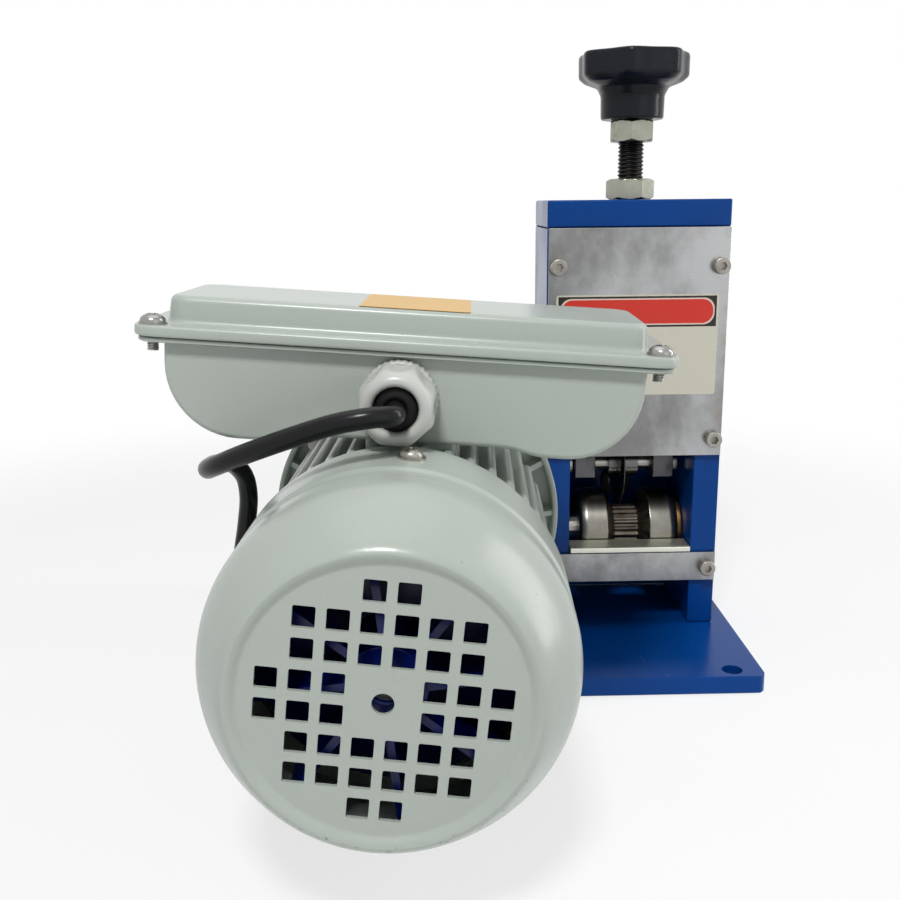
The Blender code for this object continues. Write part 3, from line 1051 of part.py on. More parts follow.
    for number, side in enumerate((-1, 1), 1):
        z = BOX_FLOOR - BOX_LOBE_DROP + BOX_WALL + GAP + CAPACITOR_RADIUS
        half = CAPACITOR_LENGTH / 2
        can = shift(remap(cylinder(CAPACITOR_RADIUS, -half, half), "XZY"), side * CAPACITOR_OUT, 0.0, z)
        solid("capacitor_%d" % number, can, mats["capacitor"], spot, lean)

    build_gland(mats, lean, near, gland_z)
    build_switch(mats, lean, middle + far, switch_z)
    return near, gland_z


def build_gland(mats, lean, near, gland_z):
    """Gland body, dome nut with grip lobes, and the rubber seal round the cord."""
    spot = (BOX_SHIFT + GLAND_SHIFT, near, gland_z)
    collar = GAP + GLAND_COLLAR_LONG
    sleeve = collar + GLAND_SLEEVE_LONG
    sleeve_radius = GLAND_THREAD_RADIUS
    profile = [(GLAND_BODY_BORE, -GLAND_INSIDE_LONG), (GLAND_THREAD_RADIUS, -GLAND_INSIDE_LONG),
               (GLAND_THREAD_RADIUS, GAP), (GLAND_COLLAR_RADIUS, GAP), (GLAND_COLLAR_RADIUS, collar),
               (sleeve_radius, collar), (sleeve_radius, sleeve), (GLAND_BODY_BORE, sleeve)]
    facing(solid("gland_body", remap(turned(profile, SMALL_STEPS), "XZY"), mats["gland"], spot, lean))

    nut_low = collar + GAP
    nut_high = nut_low + GLAND_NUT_LONG
    dome = nut_high + GLAND_DOME_LONG
    bore = sleeve_radius + BORE_CLEARANCE
    steps = 3 * GLAND_NUT_LOBES

    def gripped(height):
        return [((GLAND_NUT_RADIUS - GLAND_NUT_LOBE_DEPTH * (i % 3 == 0)) * cos(tau * i / steps),
                 (GLAND_NUT_RADIUS - GLAND_NUT_LOBE_DEPTH * (i % 3 == 0)) * sin(tau * i / steps),
                 height) for i in range(steps)]

    shoulder = (GLAND_NUT_RADIUS + GLAND_MOUTH_RADIUS) / 2
    rings = [ring_at(bore, nut_low, steps), gripped(nut_low), gripped(nut_high),
             ring_at(GLAND_NUT_RADIUS - GLAND_NUT_LOBE_DEPTH, nut_high, steps),
             ring_at((GLAND_NUT_RADIUS + shoulder) / 2, nut_high + GLAND_DOME_LONG / 2, steps),
             ring_at(shoulder, dome, steps), ring_at(GLAND_MOUTH_RADIUS, dome, steps),
             ring_at(GLAND_MOUTH_RADIUS, sleeve + GAP, steps), ring_at(bore, sleeve + GAP, steps)]
    facing(solid("gland_nut", remap(lofted(rings, closed=True), "XZY"), mats["gland"], spot, lean))

    seal_high = dome - GLAND_DOME_LONG / 3
    outer = GLAND_MOUTH_RADIUS - BORE_CLEARANCE
    bore = CORD_RADIUS + BORE_CLEARANCE
    profile = [(bore, seal_high - GLAND_SEAL_LONG), (outer, seal_high - GLAND_SEAL_LONG), (outer, seal_high),
               (bore, seal_high)]
    facing(solid("gland_seal", remap(turned(profile, SMALL_STEPS), "XZY"), mats["rubber"], spot, lean))


def facing(obj):
    """Turn a piece drawn along +Y so that it looks towards the exit side."""
    for vert in obj.data.vertices:
        vert.co.y = -vert.co.y
    obj.data.flip_normals()
    return obj


def build_switch(mats, lean, wall, switch_z):
    """Rocker switch: body with a pocket, and the rocker on its pivot."""
    spot = (BOX_SHIFT + SWITCH_SHIFT, wall, switch_z)
    half_w, half_h = SWITCH_WIDTH / 2, SWITCH_HEIGHT / 2
    rim = GAP + SWITCH_BEZEL
    body = solid("switch_body", box(-half_w, half_w, GAP, rim, -half_h, half_h), mats["switch"], spot, lean)
    inner_w, inner_h = half_w - SWITCH_RIM, half_h - SWITCH_RIM
    barrel = box(-inner_w, inner_w, -SWITCH_DEEP, rim - SWITCH_BEZEL / 2, -inner_h, inner_h)
    combine(body, barrel, "UNION", "barrel")
    pocket_w, pocket_h = inner_w - SWITCH_RIM, inner_h - SWITCH_RIM
    pocket = box(-pocket_w, pocket_w, rim - SWITCH_DEEP / 2, rim + OVERRUN, -pocket_h, pocket_h)
    combine(body, pocket, "DIFFERENCE", "pocket")
    w, h = pocket_w - ROCKER_CLEARANCE, pocket_h - ROCKER_CLEARANCE
    neck_h = h * ROCKER_NECK_SHARE
    outline = [(ROCKER_PROUD, -h), (ROCKER_PROUD - ROCKER_DISH, 0.0), (ROCKER_PROUD, h),
               (-ROCKER_RADIUS / 2, neck_h), (-ROCKER_RADIUS, 0.0), (-ROCKER_RADIUS / 2, -neck_h)]
    bm = shift(remap(plate(outline, 2 * w), "YZX"), x=-w)
    pivot = (spot[0], wall + rim, switch_z)
    rocker = solid("rocker", bm, mats["rocker"], pivot, lean, smooth=False)
    rocker.rotation_euler = (ROCKER_TILT, 0.0, 0.0)


def smooth_route(points, spacing):
    """Even points along a smooth curve through the route's own points."""
    dense = []
    padded = [points[0] * 2 - points[1], *points, points[-1] * 2 - points[-2]]
    for p0, p1, p2, p3 in zip(padded, padded[1:], padded[2:], padded[3:]):
        t0 = 0.0
        t1 = t0 + sqrt((p1 - p0).length)
        t2 = t1 + sqrt((p2 - p1).length)
        t3 = t2 + sqrt((p3 - p2).length)
        for i in range(32):
            t = t1 + (t2 - t1) * i / 32
            a1 = p0 * ((t1 - t) / (t1 - t0)) + p1 * ((t - t0) / (t1 - t0))
            a2 = p1 * ((t2 - t) / (t2 - t1)) + p2 * ((t - t1) / (t2 - t1))
            a3 = p2 * ((t3 - t) / (t3 - t2)) + p3 * ((t - t2) / (t3 - t2))
            b1 = a1 * ((t2 - t) / (t2 - t0)) + a2 * ((t - t0) / (t2 - t0))
            b2 = a2 * ((t3 - t) / (t3 - t1)) + a3 * ((t - t1) / (t3 - t1))
            dense.append(b1 * ((t2 - t) / (t2 - t1)) + b2 * ((t - t1) / (t2 - t1)))
    dense.append(points[-1])
    total = sum((b - a).length for a, b in zip(dense, dense[1:]))
    count = ceil(total / spacing)
    evened = [dense[0]]
    walked, target = 0.0, total / count
    for a, b in zip(dense, dense[1:]):
        step = (b - a).length
        while walked + step >= target * len(evened) and len(evened) < count:
            evened.append(a.lerp(b, (target * len(evened) - walked) / step))
        walked += step
    evened.append(dense[-1])
    return evened, total


def tube(name, points, mat, resolution):
    curve = bpy.data.curves.new(name, "CURVE")
    curve.dimensions = "3D"
    curve.bevel_depth = CORD_RADIUS
    curve.bevel_resolution = resolution
    curve.use_fill_caps = True
    spline = curve.splines.new("POLY")
    spline.points.add(len(points) - 1)
    for point, co in zip(spline.points, points):
        point.co = (*co, 1.0)
    curve.materials.append(mat)
    obj = bpy.data.objects.new(name, curve)
    bpy.context.scene.collection.objects.link(obj)
    return obj


def coil_points():
    """Loops that spiral in on the table and out again one layer up, then a straight tail down to the plug."""
    pitch = 2 * CORD_RADIUS + COIL_SPACE
    turns = COIL_LOOPS / COIL_LAYERS
    outer = COIL_INNER_RADIUS + pitch * turns
    points = []
    for i in range(COIL_LOOPS * COIL_STEPS + 1):
        turn = i / COIL_STEPS
        depth = turn if turn <= turns else COIL_LOOPS - turn
        climb = eased((turn - turns) * 2 + 0.5)
        radius = outer - pitch * depth
        angle = pi - tau * turn
        points.append(COIL_CENTRE + Vector((radius * cos(angle), radius * sin(angle),
                                            CORD_RADIUS + pitch * climb)))
    lead = 2 * CORD_RADIUS
    high, low = points[-1].z, PLUG_HEIGHT / 2
    corner = points[-1]
    count = ceil(COIL_TAIL / lead)
    level = COIL_TAIL * TAIL_LEVEL_SHARE
    for i in range(1, count + 1):
        along = COIL_TAIL * i / count
        z = high + (low - high) * eased((along - level) / (COIL_TAIL - lead - level))
        points.append(Vector((corner.x, corner.y + along, z)))
    return [points[0] - Vector((0.0, lead, 0.0)), *points]


def eased(share):
    """Smooth step from 0 to 1."""
    share = min(max(share, 0.0), 1.0)
    return share * share * (3 - 2 * share)


def least_gap(points):
    """Least free space between stretches of a tube that lie more than a half turn apart."""
    apart = COIL_STEPS // 2
    least = min(((a - b).length for i, a in enumerate(points) for b in points[i + apart:]), default=0.0)
    return least - 2 * CORD_RADIUS


def build_cord(mats, mouth, out):
    """Free cord from the gland to the table, the coil behind the machine and the plug."""
    coil = coil_points()
    print("least gap of the coil to itself, mm: %.2f" % (least_gap(coil) / MM))
    tube("cord_coil", coil, mats["cord"], 1)
    end = coil[0] - Vector((0.0, GAP, 0.0))
    route = [mouth, mouth + out * CORD_LEAD, *[Vector(point) for point in CORD_ROUTE],
             end - Vector((0.0, CORD_LEAD, 0.0)), end]
    points, total = smooth_route(route, CORD_STEP * 2 * CORD_RADIUS)
    print("free cord, mm: %.0f in %d points" % (total / MM, len(points)))
    tube("cord", points, mats["cord"], CORD_SIDES)
    coil_long = sum((b - a).length for a, b in zip(coil, coil[1:]))
    print("coil, mm: %.0f" % (coil_long / MM))
    build_plug(mats, coil[-1])


def build_plug(mats, end):
    """Flat two-pin plug on the table at the coil's end, its pins pointing to +Y."""
    start = end.y + GAP
    neck = start + PLUG_NECK_LENGTH
    face = neck + PLUG_LENGTH
    half_w, half_h = PLUG_WIDTH / 2, PLUG_HEIGHT / 2
    sections = [(PLUG_NECK_RADIUS, PLUG_NECK_RADIUS, start), (PLUG_NECK_RADIUS, PLUG_NECK_RADIUS, neck)]
    for wide_share, high_share, long_share in PLUG_BODY_SHARES:
        sections.append((half_w * wide_share, half_h * high_share, neck + PLUG_LENGTH * long_share))
    rings = [[(end.x + w * u, y, end.z + h * v) for u, v in circle(1.0, SMALL_STEPS)] for w, h, y in sections]
    plug = solid("plug", lofted(rings), mats["cord"])
    holes = []
    for side in (-1, 1):
        drill = remap(cylinder(PIN_RADIUS + BORE_CLEARANCE, face - PIN_SEAT, face + OVERRUN), "XZY")
        holes.append(shift(drill, end.x + side * PIN_SPACING / 2, 0.0, end.z))
    combine(plug, merged(holes), "DIFFERENCE", "pin_seats")
    for number, side in enumerate((-1, 1), 1):
        tip = face + PIN_LENGTH
        profile = [(0.0, face - PIN_SEAT + GAP), (PIN_RADIUS, face - PIN_SEAT + GAP), (PIN_RADIUS, tip - PIN_RADIUS),
                   (PIN_RADIUS / 2, tip), (0.0, tip)]
        pin = remap(turned(profile, SMALL_STEPS), "XZY")
        solid("plug_pin_%d" % number, pin, mats["nut"], (end.x + side * PIN_SPACING / 2, 0.0, end.z))


def build():
    for obj in list(bpy.data.objects):
        bpy.data.objects.remove(obj, do_unlink=True)
    mats = {
        "blue": material("blue_enamel", (0.004, 0.045, 0.21), 0.25),
        "plate": material("polished_plate", (0.62, 0.61, 0.59), 0.28, 1.0),
        "screw": material("zinc_screw", (0.45, 0.44, 0.42), 0.35, 1.0),
        "roller": material("ground_roller", (0.5, 0.49, 0.46), 0.3, 1.0),
        "steel": material("bright_steel", (0.55, 0.55, 0.55), 0.3, 1.0),
        "blade": material("blade_steel", (0.12, 0.12, 0.12), 0.35, 1.0),
        "carriage": material("carriage_steel", (0.2, 0.2, 0.21), 0.4, 1.0),
        "rod": material("black_rod", (0.06, 0.06, 0.06), 0.4, 1.0),
        "nut": material("zinc_nut", (0.55, 0.54, 0.48), 0.35, 1.0),
        "knob": material("black_bakelite", (0.014, 0.016, 0.02), 0.25),
        "bronze": material("bronze", (0.6, 0.38, 0.15), 0.35, 1.0),
        "gear": material("gear_grey", (0.42, 0.45, 0.43), 0.45),
        "motor": material("motor_grey", (0.42, 0.47, 0.43), 0.35),
        "stator": material("stator_core", (0.25, 0.14, 0.08), 0.5, 0.4),
        "rotor": material("rotor_core", (0.4, 0.4, 0.4), 0.45, 0.9),
        "fan": material("blue_fan", (0.003, 0.006, 0.05), 0.35),
        "capacitor": material("capacitor_white", (0.7, 0.7, 0.68), 0.5),
        "gland": material("white_nylon", (0.66, 0.69, 0.7), 0.4),
        "rubber": material("black_rubber", (0.01, 0.01, 0.01), 0.7),
        "cord": material("black_cord", (0.006, 0.007, 0.008), 0.4),
        "switch": material("switch_black", (0.012, 0.012, 0.012), 0.4),
        "rocker": material("rocker_red", (0.45, 0.02, 0.015), 0.35),
    }
    build_frame(mats)
    build_roller(mats)
    build_carriage(mats)
    build_adjuster(mats)
    unit = empty("gear_motor_unit", (COUPLING_X, DRIVE_DEPTH, DRIVE_Z), (0.0, 0.0, -UNIT_TURN))
    build_gear_unit(mats, unit)
    lean = build_motor(mats, unit)
    near, gland_z = build_box(mats, lean)
    bpy.context.view_layer.update()
    mouth_out = GAP + GLAND_COLLAR_LONG + GAP + GLAND_NUT_LONG + GLAND_DOME_LONG
    mouth_in = mouth_out - GLAND_DOME_LONG / 3 + GAP
    local = Vector((BOX_SHIFT + GLAND_SHIFT, near - mouth_in, gland_z))
    mouth = lean.matrix_world @ local
    out = (lean.matrix_world.to_3x3() @ Vector((0.0, -1.0, 0.0))).normalized()
    build_cord(mats, mouth, out)


build()
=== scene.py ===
import json
from math import atan2, ceil, cos, pi, radians, sin, sqrt, tau

import bmesh
import bpy
from mathutils import Matrix, Vector


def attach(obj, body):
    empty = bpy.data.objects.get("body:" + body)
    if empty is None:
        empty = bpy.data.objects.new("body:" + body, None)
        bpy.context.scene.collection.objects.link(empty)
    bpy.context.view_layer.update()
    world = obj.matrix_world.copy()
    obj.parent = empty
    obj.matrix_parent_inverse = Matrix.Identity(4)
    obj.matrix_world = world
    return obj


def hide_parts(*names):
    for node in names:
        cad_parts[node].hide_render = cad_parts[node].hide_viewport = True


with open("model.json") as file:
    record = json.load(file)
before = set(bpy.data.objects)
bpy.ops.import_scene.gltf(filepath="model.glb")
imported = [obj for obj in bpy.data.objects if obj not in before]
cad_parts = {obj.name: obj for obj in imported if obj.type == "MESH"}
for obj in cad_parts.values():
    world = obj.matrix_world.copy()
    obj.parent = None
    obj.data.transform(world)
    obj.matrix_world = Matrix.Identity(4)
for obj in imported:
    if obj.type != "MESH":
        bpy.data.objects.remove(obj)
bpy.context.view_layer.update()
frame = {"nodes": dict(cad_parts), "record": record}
nodes = frame["nodes"]

MM = 0.001
UP_TO_FRONT = Matrix.Rotation(pi / 2, 4, "X")      # drawn height runs along -Y
UP_TO_RIGHT = Matrix.Rotation(pi / 2, 4, "Y")      # drawn height runs along +X
UNIT = Matrix.Translation((-0.055, 0.031, 0.048)) @ Matrix.Rotation(radians(-2.5), 4, "Z")
MOTOR = UNIT @ Matrix.Translation((-0.042, -0.064, 0.030))
BOX_TILT = Matrix.Rotation(radians(4.0), 4, "Y")
LEAN = MOTOR @ BOX_TILT
COVER = MOTOR @ Matrix.Rotation(radians(5.9), 4, "Y")
SMOOTH_BELOW = radians(34)

ROLLER_PLACE = (0.0, 0.031, 0.048)
BLADE_PLACE = (0.0, 0.029, 0.082)
ROD_PLACE = (0.0, 0.026, 0.0)
BOX_SIDE, BOX_ALONG = -3.0, -80.0                   # middle of the terminal box, in millimetres on LEAN
GLAND_SIDE, GLAND_HIGH = -4.0 * MM, 68.7 * MM
GLAND_SEAT, CORD_MOUTH = -109.0 * MM, -130.73 * MM  # along the motor
LABEL_HEADER = (-0.0360, 0.0354, 0.1520, 0.1658)    # left, right, low, high


# Shading and growing nodes
class Wire:
    """A node's output; sums written on it add Math nodes."""

    def __init__(self, bench, socket):
        self.bench, self.socket = bench, socket

    def math(self, operation, *values):
        return self.bench.node("ShaderNodeMath", {"operation": operation}, values)

    def __add__(self, other):
        return self.math("ADD", self, other)

    def __radd__(self, other):
        return self.math("ADD", other, self)

    def __sub__(self, other):
        return self.math("SUBTRACT", self, other)

    def __rsub__(self, other):
        return self.math("SUBTRACT", other, self)

    def __mul__(self, other):
        return self.math("MULTIPLY", self, other)

    def __rmul__(self, other):
        return self.math("MULTIPLY", other, self)

    def __truediv__(self, other):
        return self.math("DIVIDE", self, other)

    def __pow__(self, other):
        return self.math("POWER", self, other)

    def __gt__(self, other):
        return self.math("GREATER_THAN", self, other)

    def __lt__(self, other):
        return self.math("LESS_THAN", self, other)


class Bench:
    """A node tree that is being wired."""

    def __init__(self, tree):
        self.tree = tree

    def node(self, kind, settings=None, values=(), out=0):
        made = self.tree.nodes.new(kind)
        for key, value in (settings or {}).items():
            setattr(made, key, value)
        pairs = values.items() if isinstance(values, dict) else enumerate(values)
        for key, value in pairs:
            self.feed(made.inputs[key], value)
        return Wire(self, made.outputs[out])

    def feed(self, socket, value):
        if isinstance(value, list):
            for each in value:
                self.feed(socket, each)
        elif isinstance(value, Wire):
            self.tree.links.new(value.socket, socket)
        elif socket.type == "RGBA":
            socket.default_value = (*value, 1.0)
        else:
            socket.default_value = value


def tone(red, green, blue):
    """A colour given as it shows on a screen, 0 to 255, as light."""
    return tuple((c / 12.92 if c <= 0.04045 else ((c + 0.055) / 1.055) ** 2.4)
                 for c in (red / 255, green / 255, blue / 255))


class Finish(Bench):
    """A surface finish with its pattern on the machine's own coordinates."""

    def __init__(self, name, **steady):
        self.made = bpy.data.materials.new(name)
        self.made.use_nodes = True
        super().__init__(self.made.node_tree)
        self.shader = self.tree.nodes["Principled BSDF"]
        for key, value in steady.items():
            self.feed(self.shader.inputs[key.replace("_", " ")], value)
        self.place = self.node("ShaderNodeTexCoord", out="Object")

    def turned_place(self, matrix):
        """Coordinates in a piece's own turned frame."""
        back = matrix.inverted()
        return self.node("ShaderNodeMapping", {"vector_type": "POINT"},
                         {"Vector": self.place, "Location": back.to_translation(),
                          "Rotation": back.to_euler()})

    def stretched(self, sizes, place=None):
        return self.node("ShaderNodeMapping", {"vector_type": "POINT"},
                         {"Vector": place or self.place, "Scale": sizes})

    def axes(self, place=None):
        split = self.node("ShaderNodeSeparateXYZ", None, [place or self.place])
        outs = split.socket.node.outputs
        return [Wire(self, out) for out in outs]

    def cloud(self, per_metre, detail=3.0, rough=0.5, place=None):
        return self.node("ShaderNodeTexNoise", None,
                         {"Vector": place or self.place, "Scale": per_metre, "Detail": detail,
                          "Roughness": rough})

    def cells(self, per_metre):
        return self.node("ShaderNodeTexVoronoi", None, {"Vector": self.place, "Scale": per_metre})

    def between(self, value, low, high, start=0.0, end=1.0):
        return self.node("ShaderNodeMapRange", {"interpolation_type": "SMOOTHSTEP"},
                         [value, low, high, start, end])

    def blend(self, share, first, second):
        return self.node("ShaderNodeMix", {"data_type": "RGBA", "blend_type": "MIX"},
                         {0: share, 6: first, 7: second}, out=2)

    def relief(self, height, strength, depth, under=None):
        values = {"Height": height, "Strength": strength, "Distance": depth}
        if under is not None:
            values["Normal"] = under
        return self.node("ShaderNodeBump", None, values)

    def done(self, **signals):
        for key, value in signals.items():
            self.feed(self.shader.inputs[key.replace("_", " ")], value)
        return self.made


def blue_enamel():
    """Glossy blue enamel on steel plates, a little uneven, with fine scuffs."""
    f = Finish("blue_enamel", Specular_IOR_Level=0.14)
    patch = f.cloud(22.0, 4.0, 0.6)
    scuff = f.between(f.cloud(260.0, 5.0, 0.75, f.stretched((1.0, 0.12, 1.0))), 0.63, 0.72)
    chip = f.between(f.cells(95.0), 0.075, 0.05) * f.between(f.cloud(30.0, 2.0), 0.60, 0.66)
    colour = f.blend(patch, tone(1, 55, 124), tone(4, 70, 146))
    colour = f.blend(scuff * 0.10, colour, tone(120, 140, 170))
    colour = f.blend(chip * 0.55, colour, tone(40, 44, 52))
    rough = f.between(patch, 0.3, 0.75, 0.16, 0.27) + scuff * 0.12
    peel = f.relief(f.cloud(520.0, 2.0), 0.07, 0.0004)
    return f.done(Base_Color=colour, Roughness=rough, Normal=f.relief(chip, 0.25, -0.0002, peel))


def grey_enamel(name, chipped=False, light=tone(176, 184, 176), dark=tone(171, 179, 171)):
    """Semi-gloss grey enamel with small dirt specks; chipped adds chips along the fan cover's lower edge."""
    f = Finish(name, Specular_IOR_Level=0.4)
    patch = f.cloud(16.0, 4.0, 0.6)
    colour = f.blend(patch, dark, light)
    speck = f.between(f.cells(120.0), 0.045, 0.02) * f.between(f.cloud(45.0, 2.0), 0.55, 0.62)
    colour = f.blend(speck * 0.6, colour, tone(96, 88, 72))
    peel = f.relief(f.cloud(760.0, 2.5), 0.10, 0.0004)
    if chipped:
        x, _, z = f.axes(f.turned_place(COVER))
        radius = (x * x + z * z) ** 0.5
        band = f.between(radius, 0.0415, 0.0428) * f.between(radius, 0.0480, 0.0450)
        low = f.between(z + x * -0.25, -0.020, -0.036)
        crumb = f.between(f.cloud(420.0, 4.0, 0.7), 0.60, 0.66)
        chip = crumb * band * low
        colour = f.blend(chip * 0.75, colour, tone(92, 76, 58))
        rim = f.between(radius, 0.0555, 0.0540) * f.between(f.cloud(900.0, 3.0), 0.35, 0.6)
        colour = f.blend(rim * 0.03, colour, tone(120, 120, 110))
        peel = f.relief(chip, 0.4, -0.0003, peel)
    rough = f.between(patch, 0.3, 0.7, 0.25, 0.27)
    return f.done(Base_Color=colour, Roughness=rough, Normal=peel)


def rolled_plate():
    """Bare rolled sheet with cloudy smears and fine scratches."""
    f = Finish("rolled_plate", Metallic=1.0)
    smear = f.between(f.cloud(20.0, 5.0, 0.62, f.stretched((1.0, 1.0, 0.7))), 0.36, 0.62)
    fine = f.cloud(700.0, 3.0, 0.6, f.stretched((0.06, 1.0, 1.0)))
    scratch = f.between(f.cloud(210.0, 4.0, 0.7, f.stretched((0.05, 1.0, 1.2))), 0.62, 0.70)
    stain = f.between(f.cloud(60.0, 3.0, 0.6), 0.58, 0.72)
    colour = f.blend(smear, tone(124, 124, 124), tone(172, 173, 174))
    colour = f.blend(stain * 0.35, colour, tone(150, 136, 118))
    rough = smear * -0.16 + 0.36 + fine * 0.10
    groove = f.relief(fine, 0.12, 0.0002)
    return f.done(Base_Color=colour, Roughness=rough, Normal=f.relief(scratch, 0.18, -0.0001, groove))


def worked_steel(name, light, dark, rough=0.32, lines=(1.0, 1.0, 1.0), grime=0.0, per_metre=500.0):
    """Turned or ground steel: lines left by the tool, cloudy tone and some grime."""
    f = Finish(name, Metallic=1.0)
    cloud = f.cloud(70.0, 4.0, 0.6)
    line = f.cloud(per_metre, 3.0, 0.6, f.stretched(lines))
    dirt = f.between(f.cloud(120.0, 4.0, 0.65), 0.50, 0.66)
    colour = f.blend(cloud, dark, light)
    colour = f.blend(dirt * grime, colour, tone(58, 48, 38))
    return f.done(Base_Color=colour, Roughness=line * 0.16 + (rough - 0.08) + dirt * (0.4 * grime),
                  Normal=f.relief(line, 0.16, 0.0002))


def roller_steel():
    """Ground roller, darker and rougher all through its groove, with patches of dirt all over."""
    f = Finish("roller_steel", Metallic=1.0)
    x, y, z = f.axes()
    back, up = y - ROLLER_PLACE[1], z - ROLLER_PLACE[2]
    radius = (back * back + up * up) ** 0.5
    # darker brown and rougher over the whole groove, floor and walls alike
    deep = f.between(radius, 0.0190, 0.0125) * f.between(x, -0.0095, -0.0075) * f.between(x, 0.0135, 0.0115)
    ring = f.cloud(420.0, 2.0, 0.5, f.stretched((1.0, 0.03, 0.03)))
    dirt = f.between(f.cloud(150.0, 4.0, 0.65), 0.42, 0.66)
    colour = f.blend(f.cloud(60.0), tone(110, 108, 102), tone(146, 144, 137))
    colour = f.blend(deep * 0.6 + dirt * 0.18, colour, tone(70, 58, 44))
    rough = ring * 0.10 + 0.26 + deep * 0.16
    return f.done(Base_Color=colour, Roughness=rough, Normal=f.relief(ring, 0.06, 0.0001))


def moulded(name, light, dark, rough=0.35, grain=900.0, depth=0.08, **steady):
    """Moulded plastic or rubber with a fine skin."""
    f = Finish(name, **steady)
    cloud = f.cloud(40.0, 3.0, 0.55)
    skin = f.cloud(grain, 3.0, 0.6)
    dust = f.between(f.cloud(330.0, 4.0, 0.7), 0.62, 0.74)
    colour = f.blend(cloud, dark, light)
    return f.done(Base_Color=f.blend(dust * 0.05, colour, tone(190, 186, 178)),
                  Roughness=f.between(cloud, 0.3, 0.7, rough - 0.04, rough + 0.05) + dust * 0.10,
                  Normal=f.relief(skin, depth, 0.0003))


def cord_jacket():
    """Shiny black jacket with fine lengthwise drawing marks."""
    f = Finish("cord_jacket", Specular_IOR_Level=0.22)
    along = f.node("ShaderNodeUVMap")
    mark = f.cloud(1.0, 3.0, 0.6, f.stretched((40.0, 14.0, 1.0), along))
    cloud = f.cloud(55.0, 3.0)
    return f.done(Base_Color=f.blend(cloud, tone(9, 10, 12), tone(18, 19, 22)),
                  Roughness=f.between(cloud, 0.3, 0.7, 0.20, 0.30),
                  Normal=f.relief(mark, 0.10, 0.0003))


def paper_label(name, ground, header=None):
    """Plain label stock. A header (left, right, low, high) is a dark band that holds a rounded red field."""
    f = Finish(name, Specular_IOR_Level=0.35)
    fibre = f.cloud(1400.0, 3.0, 0.6)
    wear = f.between(f.cloud(90.0, 4.0, 0.6), 0.55, 0.75)
    colour = f.blend(wear * 0.25, ground, tuple(c * 0.8 for c in ground))
    if header:
        left, right, low, high = header
        x, _, z = f.axes()
        across = x.math("ABSOLUTE", x - (left + right) / 2) - (right - left) / 2
        upward = x.math("ABSOLUTE", z - (low + high) / 2) - (high - low) / 2
        colour = f.blend(x.math("MAXIMUM", across, upward) < 0.0, colour, tone(34, 32, 30))
        radius = (high - low) * 0.36
        for inset, shade in ((0.0009, tone(224, 200, 188)), (0.0015, tone(206, 52, 40))):
            u = x.math("MAXIMUM", across + (radius + inset), 0.0)
            v = x.math("MAXIMUM", upward + (radius + inset), 0.0)
            inside = f.between((u * u + v * v) ** 0.5, radius + 0.0001, radius - 0.0001)
            colour = f.blend(inside, colour, shade)
    return f.done(Base_Color=colour, Roughness=fibre * 0.1 + 0.34, Normal=f.relief(fibre, 0.06, 0.0002))


def wound_stator():
    """Stack of sheets streaked from dark brown to varnished copper."""
    f = Finish("wound_stator")
    sheet = f.cloud(1600.0, 1.0, 0.5, f.stretched((0.02, 1.0, 0.02), f.turned_place(MOTOR)))
    return f.done(Base_Color=f.blend(sheet, tone(92, 58, 36), tone(150, 98, 62)), Roughness=sheet * 0.2 + 0.4,
                  Metallic=0.4, Normal=f.relief(sheet, 0.3, 0.0003))


